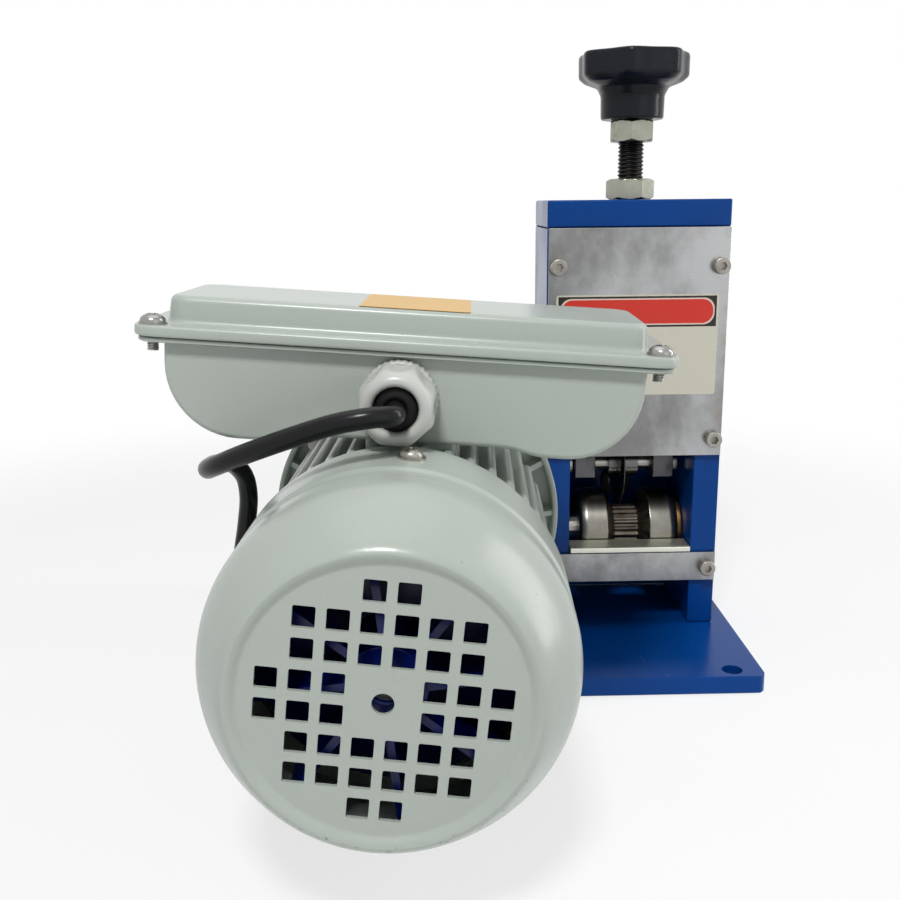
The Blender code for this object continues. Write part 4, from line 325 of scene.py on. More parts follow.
finishes = {
    "blue": blue_enamel(),
    "plate": rolled_plate(),
    "screw": worked_steel("zinc_screw", tone(178, 175, 168), tone(128, 124, 116), 0.36, grime=0.25),
    "roller": roller_steel(),
    "steel": worked_steel("bright_steel", tone(190, 189, 184), tone(142, 140, 135), 0.30, (1.0, 0.08, 0.08)),
    "blade": worked_steel("tool_steel", tone(132, 131, 128), tone(84, 84, 84), 0.26, (0.1, 1.0, 1.0)),
    "carriage": worked_steel("carriage_steel", tone(112, 112, 114), tone(70, 70, 74), 0.42,
                             (1.0, 0.1, 0.1), 0.3),
    "rod": worked_steel("blackened_steel", tone(66, 64, 62), tone(36, 35, 35), 0.40, grime=0.2),
    "nut": worked_steel("zinc_nut", tone(176, 177, 164), tone(136, 137, 125), 0.34, grime=0.2),
    "tray": worked_steel("bright_sheet", tone(238, 238, 224), tone(216, 217, 204), 0.46, (0.05, 1.0, 1.0)),
    "knob": moulded("bakelite", tone(27, 30, 37), tone(18, 20, 26), 0.24, 600.0, 0.05,
                    Specular_IOR_Level=0.16),
    "bronze": worked_steel("bronze", tone(124, 96, 60), tone(90, 68, 40), 0.45, grime=0.3),
    "gear": grey_enamel("gear_unit_enamel", light=tone(176, 180, 176), dark=tone(160, 165, 161)),
    "motor": grey_enamel("motor_enamel"),
    "cover": grey_enamel("fan_cover_enamel", chipped=True),
    "stator": wound_stator(),
    "rotor": worked_steel("rotor_stack", tone(150, 148, 144), tone(100, 98, 95), 0.42,
                          (0.05, 1.0, 0.05), 0.3),
    "fan": moulded("fan_plastic", tone(6, 30, 120), tone(2, 12, 66), 0.24, 500.0, 0.05,
                   Specular_IOR_Level=0.35),
    "capacitor": moulded("capacitor_can", tone(214, 212, 204), tone(196, 194, 186), 0.40),
    "gland": moulded("gland_nylon", tone(198, 200, 195), tone(182, 184, 179), 0.30, 420.0, 0.07),
    "rubber": moulded("gland_rubber", tone(16, 16, 16), tone(8, 8, 8), 0.55, Specular_IOR_Level=0.2),
    "plug_shell": moulded("plug_vinyl", tone(20, 21, 23), tone(12, 13, 15), 0.34, Specular_IOR_Level=0.25),
    "cord": cord_jacket(),
    "chrome": worked_steel("bright_zinc", tone(176, 175, 172), tone(132, 131, 128), 0.22, grime=0.2),
    "switch": moulded("switch_housing", tone(24, 24, 26), tone(16, 16, 18), 0.38, Specular_IOR_Level=0.25),
    "rocker": moulded("rocker_red", tone(176, 24, 20), tone(150, 16, 14), 0.30),
    "label": paper_label("front_label_stock", tone(205, 202, 186), LABEL_HEADER),
    "sticker": paper_label("lid_label_stock", tone(214, 170, 92)),
}
for row in frame["record"]["subparts"]:
    for holder in nodes[row["node"]].material_slots:
        holder.material = finishes[row["material_slot"]]


# Camera, light and floor
def shown(name, data):
    """A new object in the scene."""
    made = bpy.data.objects.new(name, data)
    bpy.context.scene.collection.objects.link(made)
    return made


def mesh_of(bm, name):
    """bm as a mesh; bm goes."""
    mesh = bpy.data.meshes.new(name)
    bm.to_mesh(mesh)
    bm.free()
    return mesh


def set_camera():
    """The photograph's view."""
    place = (-0.09416, -0.46952, 0.20772)
    pitch, yaw, roll = 0.234124, 0.0192056, -0.0100837
    ahead = Vector((sin(yaw) * cos(pitch), cos(yaw) * cos(pitch), -sin(pitch)))
    right = Vector((cos(yaw), -sin(yaw), 0.0))
    above = right.cross(ahead)
    side = right * cos(roll) + above * sin(roll)
    crown = above * cos(roll) - right * sin(roll)
    data = bpy.data.cameras.new("view")
    data.lens, data.sensor_width = 41.6, 36.0
    data.clip_start, data.clip_end = 0.01, 50.0
    camera = shown("view", data)
    camera.matrix_world = Matrix((
        (side.x, crown.x, -ahead.x, place[0]),
        (side.y, crown.y, -ahead.y, place[1]),
        (side.z, crown.z, -ahead.z, place[2]),
        (0.0, 0.0, 0.0, 1.0)))
    bpy.context.scene.camera = camera


def add_panel(name, place, target, width, height, watts):
    data = bpy.data.lights.new(name, "AREA")
    data.shape, data.size, data.size_y, data.energy = "RECTANGLE", width, height, watts
    lamp = shown(name, data)
    lamp.location = place
    lamp.rotation_mode = "QUATERNION"
    lamp.rotation_quaternion = (Vector(target) - Vector(place)).to_track_quat("-Z", "Y")


def shows_directly(bench):
    """1 for what the camera sees straight, by reflection or through glass."""
    path = bench.node("ShaderNodeLightPath").socket.node
    rays = [Wire(bench, path.outputs[label])
            for label in ("Is Camera Ray", "Is Glossy Ray", "Is Transmission Ray")]
    return rays[0].math("MINIMUM", rays[0] + rays[1] + rays[2], 1.0)


def set_surroundings():
    world = bpy.data.worlds.new("studio")
    bpy.context.scene.world = world
    world.use_nodes = True
    bench = Bench(world.node_tree)
    ground = world.node_tree.nodes["Background"]
    ambient, white_wall = (0.20, 0.205, 0.21), (1.0, 1.0, 1.0)
    seen = bench.node("ShaderNodeMix", {"data_type": "RGBA"},
                      {0: shows_directly(bench), 6: ambient, 7: white_wall}, out=2)
    bench.feed(ground.inputs["Color"], seen)

    bm = bmesh.new()
    bmesh.ops.create_grid(bm, x_segments=1, y_segments=1, size=9.0)
    floor = shown("floor", mesh_of(bm, "floor"))
    floor.location = (-0.1, 0.0, -0.0002)

    made = bpy.data.materials.new("pale_floor")
    made.use_nodes = True
    bench = Bench(made.node_tree)
    shader = made.node_tree.nodes["Principled BSDF"]
    bench.feed(shader.inputs["Base Color"], (0.93, 0.93, 0.93))
    shader.inputs["Roughness"].default_value = 0.75
    shader.inputs["Specular IOR Level"].default_value = 0.1
    place = bench.node("ShaderNodeTexCoord", out="Object")
    away = bench.node("ShaderNodeVectorMath", {"operation": "LENGTH"}, [place], out=1)
    far = bench.node("ShaderNodeMapRange", {"interpolation_type": "SMOOTHSTEP"},
                     [away, 0.30, 0.62, 0.70, 1.0])
    white = bench.node("ShaderNodeEmission", None, {"Color": (1.0, 1.0, 1.0), "Strength": 1.0})
    mixed = bench.node("ShaderNodeMixShader", None,
                       [far * shows_directly(bench), Wire(bench, shader.outputs[0]), white])
    bench.feed(made.node_tree.nodes["Material Output"].inputs["Surface"], mixed)
    floor.data.materials.append(made)

    add_panel("overhead", (-0.15, 0.10, 1.20), (-0.08, 0.0, 0.1), 0.9, 0.7, 1.9)
    add_panel("key", (-0.22, -0.85, 1.15), (-0.08, 0.0, 0.1), 0.22, 0.22, 11.0)
    add_panel("fill", (0.70, -1.20, 0.45), (0.0, 0.0, 0.12), 0.7, 0.9, 1.1)
    add_panel("edge", (0.80, 0.02, 0.40), (0.0, 0.0, 0.15), 0.10, 0.9, 3.0)


# Mesh tools
def softened(points, reach, steps=4):
    """A run of points with each corner turned into a short curve; the ends stay."""
    run = [Vector(p) for p in points]
    out = [run[0]]
    for before, corner, after in zip(run, run[1:], run[2:]):
        arm_a, arm_b = before - corner, after - corner
        a = min(reach, arm_a.length * 0.48)
        b = min(reach, arm_b.length * 0.48)
        if min(a, b) < 1e-7:
            out.append(corner)
            continue
        start, end = corner + arm_a * (a / arm_a.length), corner + arm_b * (b / arm_b.length)
        for i in range(steps + 1):
            t = i / steps
            out.append(start * (1 - t) ** 2 + corner * (2 * t * (1 - t)) + end * t ** 2)
    out.append(run[-1])
    return [tuple(p) for p in out]


def through(points, steps):
    """A smooth run of points through the given ones."""
    run = [Vector(p) for p in points]
    run = [run[0] * 2 - run[1], *run, run[-1] * 2 - run[-2]]
    out = []
    for p0, p1, p2, p3 in zip(run, run[1:], run[2:], run[3:]):
        for i in range(steps):
            t = i / steps
            out.append(tuple(0.5 * (2 * p1 + (p2 - p0) * t + (2 * p0 - 5 * p1 + 4 * p2 - p3) * t ** 2
                                    + (3 * p1 - p0 - 3 * p2 + p3) * t ** 3)))
    return out + [tuple(run[-2])]


AXIS_RADIUS = 1e-5      # a ring on the axis, before its doubles are merged


def ring(radius, height, steps):
    return [(radius * cos(tau * i / steps), radius * sin(tau * i / steps), height) for i in range(steps)]


def lofted(rings, around=False, caps=True, closed=True):
    """Skin over rings of points. around joins the last ring to the first; closed joins each ring's ends."""
    bm = bmesh.new()
    rows = [[bm.verts.new(p) for p in points] for points in rings]
    count = len(rows[0])
    pairs = list(zip(rows, rows[1:])) + ([(rows[-1], rows[0])] if around else [])
    for low, high in pairs:
        for i in range(count if closed else count - 1):
            j = (i + 1) % count
            bm.faces.new((low[i], low[j], high[j], high[i]))
    if caps and not around:
        bm.faces.new(rows[0][::-1])
        bm.faces.new(rows[-1])
    bmesh.ops.remove_doubles(bm, verts=bm.verts, dist=1e-7)
    bmesh.ops.recalc_face_normals(bm, faces=bm.faces[:])
    return bm


def turned(profile, steps, around=False, reach=0.0, curve=3):
    """Solid of revolution round Z, drawn in millimetres, its corners softened over reach.

    A profile that starts and ends on the axis is closed by itself; around closes any other.
    """
    if reach:
        profile = softened(profile, reach, curve)
    rings = [ring(max(radius * MM, AXIS_RADIUS), height * MM, steps) for radius, height in profile]
    return lofted(rings, around=around)


def rounded(half_u, half_v, radius, height, steps=8):
    points = []
    for turn, (su, sv) in enumerate(((1, 1), (-1, 1), (-1, -1), (1, -1))):
        for i in range(steps + 1):
            angle = (turn + i / steps) * pi / 2
            points.append((su * (half_u - radius) + radius * cos(angle),
                           sv * (half_v - radius) + radius * sin(angle), height))
    return points


def slab(half_u, half_v, corner, low, high):
    """Flat plate with round corners, drawn in millimetres."""
    return lofted([rounded(half_u * MM, half_v * MM, corner * MM, h * MM, 5) for h in (low, high)])


def joined(parts):
    whole = bmesh.new()
    for part in parts:
        mesh = mesh_of(part, "part")
        whole.from_mesh(mesh)
        bpy.data.meshes.remove(mesh)
    return whole


def sharpen(bm):
    """Smooth shading that stops at real edges."""
    for face in bm.faces:
        face.smooth = True
    for edge in bm.edges:
        edge.smooth = len(edge.link_faces) == 2 and edge.calc_face_angle(pi) < SMOOTH_BELOW


def piece(name, bm, slot, body, stands_for=(), place=None):
    """A finished piece of the machine, drawn in place, riding on its body."""
    if place is not None:
        bm.transform(place)
    sharpen(bm)
    obj = shown(name, mesh_of(bm, name))
    obj.data.materials.append(finishes[slot])
    normals = obj.modifiers.new("face_normals", "WEIGHTED_NORMAL")
    normals.keep_sharp = True
    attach(obj, body)
    if stands_for:
        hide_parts(*stands_for)
    return obj


def temporary(bm):
    return shown("blank", mesh_of(bm, "blank"))


def settled(obj):
    """The object's mesh after its modifiers, as a bmesh; the object goes."""
    graph = bpy.context.evaluated_depsgraph_get()
    graph.update()
    mesh = bpy.data.meshes.new_from_object(obj.evaluated_get(graph), depsgraph=graph)
    bm = bmesh.new()
    bm.from_mesh(mesh)
    bpy.data.meshes.remove(mesh)
    bpy.data.objects.remove(obj)
    return bm


def carved(bm, cutter):
    """bm without the space of cutter."""
    blank, tool = temporary(bm), temporary(cutter)
    cut = blank.modifiers.new("cut", "BOOLEAN")
    cut.operation, cut.solver, cut.object = "DIFFERENCE", "EXACT", tool
    out = settled(blank)
    bpy.data.objects.remove(tool)
    bmesh.ops.remove_doubles(out, verts=out.verts, dist=1e-6)
    return out


def walled(skin, thickness):
    """The skin with a wall of that thickness on its inner side."""
    blank = temporary(skin)
    wall = blank.modifiers.new("wall", "SOLIDIFY")
    wall.thickness, wall.offset = thickness, -1.0
    return settled(blank)


def broken_edges(name, width, steps=3):
    """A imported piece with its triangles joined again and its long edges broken."""
    bm = bmesh.new()
    bm.from_mesh(nodes[name].data)
    bmesh.ops.remove_doubles(bm, verts=bm.verts, dist=2e-6)
    bmesh.ops.dissolve_limit(bm, angle_limit=radians(0.6), verts=bm.verts[:], edges=bm.edges[:])
    edges = [e for e in bm.edges if len(e.link_faces) == 2 and e.calc_length() > 5 * width
             and e.calc_face_angle(0.0) > radians(40)]
    bmesh.ops.bevel(bm, geom=edges, offset=width, segments=steps, profile=0.5, affect="EDGES",
                    clamp_overlap=True)
    return bm


# Growing by rule
class Growth(Bench):
    """A Geometry Nodes tree with named inputs."""

    KINDS = {int: "NodeSocketInt", float: "NodeSocketFloat"}

    def __init__(self, name, **sizes):
        super().__init__(bpy.data.node_groups.new(name, "GeometryNodeTree"))
        face = self.tree.interface
        face.new_socket("Geometry", in_out="INPUT", socket_type="NodeSocketGeometry")
        self.sizes = {}
        for label, value in sizes.items():
            kind = self.KINDS.get(type(value))
            if kind is None:
                kind = "NodeSocketMaterial" if isinstance(value, bpy.types.Material) else "NodeSocketObject"
            self.sizes[label] = (face.new_socket(label, in_out="INPUT", socket_type=kind).identifier, value)
        face.new_socket("Geometry", in_out="OUTPUT", socket_type="NodeSocketGeometry")
        self.start = self.tree.nodes.new("NodeGroupInput")
        self.end = self.tree.nodes.new("NodeGroupOutput")

    def size(self, label):
        return Wire(self, self.start.outputs[label])

    def grown(self, geometry, base):
        """Ends the tree and returns what it makes of the base mesh."""
        real = self.node("GeometryNodeRealizeInstances", None, [geometry])
        last = self.node("GeometryNodeSetMaterial", None, {"Geometry": real, "Material": self.size("finish")})
        self.feed(self.end.inputs[0], last)
        obj = temporary(base)
        grow = obj.modifiers.new("grow", "NODES")
        grow.node_group = self.tree
        for identifier, value in self.sizes.values():
            grow[identifier] = value
        return settled(obj)


def vent_sheet(radius, steps, pitch, hole, centre_hole):
    """Flat round face pierced by square holes that fill a ring of a square pattern."""
    g = Growth("vent_sheet", radius=radius, steps=steps, pitch=pitch, hole=hole, centre_hole=centre_hole,
               finish=finishes["cover"])
    span = g.size("pitch") * 7.0
    grid = g.node("GeometryNodeMeshGrid", None, [span, span, 8, 8])
    spot = g.node("GeometryNodeInputPosition")
    off = g.node("ShaderNodeVectorMath", {"operation": "LENGTH"}, [spot], out=1)
    outside = (off > g.size("pitch") * 3.65) + (off < g.size("pitch"))
    spots = g.node("GeometryNodeDeleteGeometry", None, {"Geometry": grid, "Selection": outside})
    square = g.node("GeometryNodeCurvePrimitiveQuadrilateral", None,
                    {"Width": g.size("hole"), "Height": g.size("hole")})
    square = g.node("GeometryNodeFilletCurve", {"mode": "POLY"},
                    {"Curve": square, "Count": 3, "Radius": g.size("hole") * 0.09})
    holes = g.node("GeometryNodeInstanceOnPoints", None, {"Points": spots, "Instance": square})
    middle = g.node("GeometryNodeCurvePrimitiveCircle", None,
                    {"Resolution": 32, "Radius": g.size("centre_hole") / 2.0})
    edge = g.node("GeometryNodeCurvePrimitiveCircle", None,
                  {"Resolution": g.size("steps"), "Radius": g.size("radius")})
    lines = g.node("GeometryNodeJoinGeometry", None, {"Geometry": [holes, middle, edge]})
    lines = g.node("GeometryNodeRealizeInstances", None, [lines])
    sheet = g.node("GeometryNodeFillCurve", {"mode": "TRIANGLES"}, {"Curve": lines})
    return g.grown(sheet, bmesh.new())


def scattered(name, template, spots, slot):
    """Copies of a template at spots, each a place and a turn (Euler angles)."""
    model = temporary(template)
    base = bmesh.new()
    turn = base.verts.layers.float_vector.new("turn")
    for place, angles in spots:
        vert = base.verts.new(place)
        vert[turn] = angles
    g = Growth(name, template=model, finish=finishes[slot])
    shape = g.node("GeometryNodeObjectInfo", None, {"Object": g.size("template")}, out="Geometry")
    angles = g.node("GeometryNodeInputNamedAttribute", {"data_type": "FLOAT_VECTOR"}, {"Name": "turn"})
    turns = g.node("FunctionNodeEulerToRotation", None, [angles])
    copies = g.node("GeometryNodeInstanceOnPoints", None,
                    {"Points": Wire(g, g.start.outputs[0]), "Instance": shape, "Rotation": turns})
    out = g.grown(copies, base)
    bpy.data.objects.remove(model)
    return out


def evenly_turned(count, axis):
    """Spots at the middle, turned evenly round axis 0, 1 or 2."""
    turns = [[i * tau / count if a == axis else 0.0 for a in range(3)] for i in range(count)]
    return [((0.0, 0.0, 0.0), turn) for turn in turns]


def threaded(radius, low, high, pitch, depth, around, slot):
    """A rod whose skin follows a screw thread."""
    rows = ceil((high - low) / pitch * 6)
    g = Growth("thread", radius=radius, length=high - low, pitch=pitch, depth=depth, around=around, rows=rows,
               finish=finishes[slot])
    rod = g.node("GeometryNodeMeshCylinder", None,
                 {"Vertices": g.size("around"), "Side Segments": g.size("rows"), "Fill Segments": 1,
                  "Radius": g.size("radius"), "Depth": g.size("length")})
    split = g.node("ShaderNodeSeparateXYZ", None, [g.node("GeometryNodeInputPosition")]).socket.node
    x, y, z = [Wire(g, out) for out in split.outputs]
    turn = x.math("ARCTAN2", y, x) / tau
    phase = x.math("FRACT", z / g.size("pitch") - turn + 100.0)
    valley = x.math("ABSOLUTE", phase - 0.5) * 2.0
    inward = valley * g.size("depth") / g.size("radius") * -1.0
    offset = g.node("ShaderNodeCombineXYZ", None, [x * inward, y * inward, 0.0])
    moved = g.node("GeometryNodeSetPosition", None, {"Geometry": rod, "Offset": offset})
    bm = g.grown(moved, bmesh.new())
    bm.transform(Matrix.Translation((0.0, 0.0, (low + high) / 2)))
    return bm


# The cord, its coil and its plug
CORD_RADIUS = 3.2 * MM
CORD_ROUTE = (
    (-0.1115, -0.1732, 0.1469), (-0.1210, -0.1733, 0.1454), (-0.1349, -0.1702, 0.1408),
    (-0.1501, -0.1640, 0.1345), (-0.1608, -0.1561, 0.1290), (-0.1653, -0.1464, 0.1256),
    (-0.1649, -0.1364, 0.1246), (-0.1615, -0.1270, 0.1225), (-0.1585, -0.1211, 0.1165),
    (-0.1579, -0.1187, 0.1085), (-0.1594, -0.1171, 0.0980), (-0.1620, -0.1155, 0.0840),
    (-0.1633, -0.1114, 0.0640), (-0.1615, -0.1045, 0.0420), (-0.1586, -0.0946, 0.0220),
    (-0.1555, -0.0817, 0.0100), (-0.1515, -0.0600, 0.0055), (-0.1505, -0.0300, 0.0038),
    (-0.1500, 0.0200, 0.0036), (-0.1500, 0.0600, 0.0036), (-0.1525, 0.1050, 0.0036),
)


def eased(share):
    share = min(max(share, 0.0), 1.0)
    return share * share * (3 - 2 * share)


def coil_points():
    """Four loops in two layers on the table, then a straight tail down to the plug."""
    pitch, inner, steps, loops, turns = 7.2 * MM, 38.0 * MM, 24, 4, 2.0
    centre = Vector((-0.105, 0.176, 0.0))
    points = []
    for i in range(loops * steps + 1):
        turn = i / steps
        depth = turn if turn <= turns else loops - turn
        climb = eased((turn - turns) * 2 + 0.5)
        radius = inner + pitch * (turns - depth)
        angle = pi - tau * turn
        points.append(centre + Vector((radius * cos(angle), radius * sin(angle),
                                       CORD_RADIUS + pitch * climb)))
    corner, tail, lead, low = points[-1], 40.0 * MM, 2 * CORD_RADIUS, 7.0 * MM
    count, level = ceil(tail / lead), tail * 0.38
    for i in range(1, count + 1):
        along = tail * i / count
        z = corner.z + (low - corner.z) * eased((along - level) / (tail - lead - level))
        points.append(Vector((corner.x, corner.y + along, z)))
    return [points[0] - Vector((0.0, lead, 0.0)), *points]


def dense_route(points):
    """Six points to each stretch of a smooth curve through the route, and the route's last point."""
    dense = []
    padded = [points[0] * 2 - points[1], *points, points[-1] * 2 - points[-2]]
    for p0, p1, p2, p3 in zip(padded, padded[1:], padded[2:], padded[3:]):
        t1 = sqrt((p1 - p0).length)
        t2 = t1 + sqrt((p2 - p1).length)
        t3 = t2 + sqrt((p3 - p2).length)
        for i in range(6):
            t = t1 + (t2 - t1) * i / 6
            a1 = p0 * ((t1 - t) / t1) + p1 * (t / t1)
            a2 = p1 * ((t2 - t) / (t2 - t1)) + p2 * ((t - t1) / (t2 - t1))
            a3 = p2 * ((t3 - t) / (t3 - t2)) + p3 * ((t - t2) / (t3 - t2))
            b1 = a1 * ((t2 - t) / t2) + a2 * (t / t2)
            b2 = a2 * ((t3 - t) / (t3 - t1)) + a3 * ((t - t1) / (t3 - t1))
            dense.append(b1 * ((t2 - t) / (t2 - t1)) + b2 * ((t - t1) / (t2 - t1)))
    return dense + [points[-1]]


def build_plug(end, gap):
    """Flat plug with a grooved neck, and its two round pins, a gap beyond the cord's end."""
    start = end.y + gap
    steps, neck_end, flattening = 40, 14.0, 10.0
    pin_out, pin_seat = 9.5 * MM, 48.0 * MM
    sections = [(5.0, 5.0, 0.0), (5.0, 5.0, 2.0), (4.4, 4.4, 3.0), (4.6, 4.6, 5.0), (5.0, 5.0, 6.0),
                (5.0, 5.0, 8.0), (4.5, 4.5, 9.0), (4.8, 4.7, 11.0), (5.6, 5.0, 14.0), (9.6, 5.6, 18.0),
                (14.2, 6.5, 23.0), (16.9, 7.0, 29.0), (17.5, 7.0, 34.0), (17.5, 7.0, 45.0),
                (17.0, 6.8, 46.8), (15.8, 6.0, 48.0)]
    rings = []
    for wide, high, along in sections:
        flat = min(max((along - neck_end) / flattening, 0.0), 1.0)
        power = 1.0 - 0.5 * flat
        loop = []
        for i in range(steps):
            c, s = cos(tau * i / steps), sin(tau * i / steps)
            loop.append((end.x + wide * MM * abs(c) ** power * (1 if c > 0 else -1), start + along * MM,
                         end.z + high * MM * abs(s) ** power * (1 if s > 0 else -1)))
        rings.append(loop)
    plug = piece("mains_plug", lofted(rings), "plug_shell", "frame", ["plug"])
    pins = []
    profile = [(0.0, 0.0), (2.0, 0.0), (2.0, 18.0), (1.1, 19.0), (0.0, 19.0)]
    for side in (-1, 1):
        pin = turned(profile, 24, reach=0.6)
        pin.transform(Matrix.Translation((end.x + side * pin_out, start + pin_seat, end.z))
                      @ Matrix.Rotation(-pi / 2, 4, "X"))
        pins.append(pin)
    return [plug, piece("plug_pins", joined(pins), "nut", "frame", ["plug_pin_1", "plug_pin_2"])]


def build_cord():
    mouth = LEAN @ Vector((GLAND_SIDE, CORD_MOUTH, GLAND_HIGH))
    out = (LEAN.to_3x3() @ Vector((0.0, -1.0, 0.0))).normalized()
    coil = coil_points()
    lead, gap = 8.0 * MM, 0.3 * MM
    last = coil[0] - Vector((0.0, gap, 0.0))
    by_hand = [Vector(p) for p in CORD_ROUTE]
    route = [mouth, mouth + out * lead, *by_hand, last - Vector((0.0, lead, 0.0)), last]
    points = dense_route(route)[:-1] + coil
    curve = bpy.data.curves.new("power_cord", "CURVE")
    curve.dimensions = "3D"
    curve.bevel_depth, curve.bevel_resolution, curve.use_fill_caps = CORD_RADIUS, 5, True
    spline = curve.splines.new("POLY")
    spline.points.add(len(points) - 1)
    for point, place in zip(spline.points, points):
        point.co = (*place, 1.0)
    spline.use_smooth = True
    curve.materials.append(finishes["cord"])
    cord = shown("power_cord", curve)
    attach(cord, "frame")
    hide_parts("cord", "cord_coil")
    total = sum((b - a).length for a, b in zip(points, points[1:]))
    plug, pins = build_plug(coil[-1], gap)


# Fasteners
def socket_screw():
    """Head of a socket screw, seat at z 0, facing +Z."""
    head = turned([(0.0, 0.0), (3.7, 0.0), (3.7, 4.0), (0.0, 4.0)], 48, reach=0.45)
    grip_low, grip_high, grooves, groove_share = 0.6 * MM, 3.3 * MM, 24, 0.02
    for vert in head.verts:
        if grip_low < vert.co.z < grip_high:
            angle = atan2(vert.co.y, vert.co.x)
            grip = 1.0 - groove_share * (0.5 + 0.5 * cos(grooves * angle))
            vert.co.x *= grip
            vert.co.y *= grip
    key = 3.4 / sqrt(3.0) * MM
    key_floor, above = 1.9 * MM, 5.0 * MM
    return carved(head, lofted([ring(key, key_floor, 6), ring(key, above, 6)]))


def cross_screw(radius, high, width):
    """Pan head with a cross recess, in millimetres, seat at z 0, facing +Z."""
    wall_share, dome_steps = 0.28, 8
    profile = [(0.0, 0.0), (radius, 0.0), (radius, wall_share * high)]
    for i in range(1, dome_steps + 1):
        angle = i / dome_steps * pi / 2
        profile.append((radius * cos(angle), high * (wall_share + (1 - wall_share) * sin(angle))))
    head = turned(profile, 48)
    half_width, reach = width * MM / 2, radius * MM * 0.58
    for turn in (0.0, pi / 2):
        arm = lofted([[(-half, -half_width, z), (half, -half_width, z),
                       (half, half_width, z), (-half, half_width, z)]
                      for half, z in ((reach * 0.6, high * MM * 0.45), (reach, (high + 1.0) * MM))])
        arm.transform(Matrix.Rotation(turn, 4, "Z"))
        head = carved(head, arm)
    return head


def hexagonal(across, low, high, bore):
    """Nut with both faces chamfered."""
    steps, slope, mouth = 72, 0.58, 0.5 * MM
    flat, corner = across / 2, across / sqrt(3.0)
    start = flat * 0.97
    rings = []
    for rise in (0.0, 0.25, 0.5, 0.75, 1.0):
        rings.append((low + rise * (corner - start) * slope, start + rise * (corner - start)))
    rings += [(high + low - z, limit) for z, limit in rings[::-1]]
    out = [ring(bore, low + mouth, steps), ring(bore + mouth, low, steps)]
    for z, limit in rings:
        loop = []
        for i in range(steps):
            angle = tau * i / steps
            wall = flat / cos((angle + pi / 6) % (pi / 3) - pi / 6)
            r = min(wall, limit)
            loop.append((r * cos(angle), r * sin(angle), z))
        out.append(loop)
    out += [ring(bore + mouth, high, steps), ring(bore, high - mouth, steps)]
    return lofted(out, around=True)


def build_fasteners():
    facing_front, facing_back = (pi / 2, 0.0, 0.0), (-pi / 2, 0.0, 0.0)
    front_seat, back_seat, sides = -2.35 * MM, 54.35 * MM, (-0.0363, 0.0363)
    spots = [((x, front_seat, z), facing_front) for z in (0.179, 0.100, 0.0375) for x in sides]
    spots += [((x, back_seat, 0.122), facing_back) for x in sides]
    bm = scattered("head_screws", socket_screw(), spots, "screw")
    piece("head_screws", bm, "screw", "frame",
          ["cover_screw_1", "cover_screw_2", "cover_screw_3", "cover_screw_4",
           "strip_screw_1", "strip_screw_2", "infeed_screw_1", "infeed_screw_2"])

    build_lid_screws()
    washer = turned([(2.0, -0.3), (4.4, -0.3), (4.4, 0.3), (2.0, 0.3)], 40, True)
    head = joined([cross_screw(3.5, 2.9, 0.95), washer])
    head.transform(Matrix.Translation((0.0, -0.135, 0.0557)) @ Matrix.Rotation(0.3, 4, "Z"))
    piece("fan_cover_screw_head", head, "screw", "frame", ["fan_cover_screw"], COVER)
    build_gear_unit_bolts()


def build_lid_screws():
    """Cross screws on washers, each turned its own way, with a threaded shank that shows under the lid."""
    out_u, out_v, seat = 81.2, 27.3, 87.32
    washer = turned([(2.1, -0.02), (4.6, -0.02), (4.6, 0.55), (2.1, 0.55)], 40, True)
    head = joined([cross_screw(4.1, 3.3, 1.1), washer])
    places = [(BOX_SIDE + su * out_u, BOX_ALONG + sv * out_v) for sv in (-1, 1) for su in (-1, 1)]
    spots = []
    for number, (u, v) in enumerate(places):
        turn = (LEAN @ Matrix.Rotation(0.4 + 0.7 * number, 4, "Z")).to_euler()
        spots.append((LEAN @ Vector((u * MM, v * MM, seat * MM)), turn))
    heads = scattered("lid_screws", head, spots, "chrome")
    shank = threaded(1.95 * MM, 78.8 * MM, 87.3 * MM, 0.8 * MM, 0.35 * MM, 20, "screw")
    spots = [(LEAN @ Vector((u * MM, v * MM, 0.0)), LEAN.to_euler()) for u, v in places]
    shanks = scattered("lid_shanks", shank, spots, "chrome")
    piece("lid_screws", joined([heads, shanks]), "chrome", "frame",
          ["lid_screw_1", "lid_screw_2", "lid_screw_3", "lid_screw_4"])


def build_gear_unit_bolts():
    """Four bolts on the gear unit's side cover and four on the motor's flange."""
    side_circle, side_seat = 24.0 * MM, -77.0 * MM
    flange_circle, flange_seat = 52.8 * MM, -3.2 * MM
    head = turned([(0.0, 0.0), (3.0, 0.0), (3.0, 3.2), (0.0, 3.2)], 32, reach=0.5)
    spots = []
    for i in range(4):
        angle = pi / 4 + i * pi / 2
        place = UNIT @ Vector((side_seat, side_circle * cos(angle), side_circle * sin(angle)))
        spots.append((place, (UNIT @ Matrix.Rotation(-pi / 2, 4, "Y")).to_euler()))
    for i in range(4):
        angle = pi / 4 + i * pi / 2 + pi / 16
        place = MOTOR @ Vector((flange_circle * cos(angle), flange_seat, flange_circle * sin(angle)))
        spots.append((place, (MOTOR @ Matrix.Rotation(pi / 2, 4, "X")).to_euler()))
    piece("gear_unit_bolts", scattered("gear_unit_bolts", head, spots, "screw"), "screw", "frame")


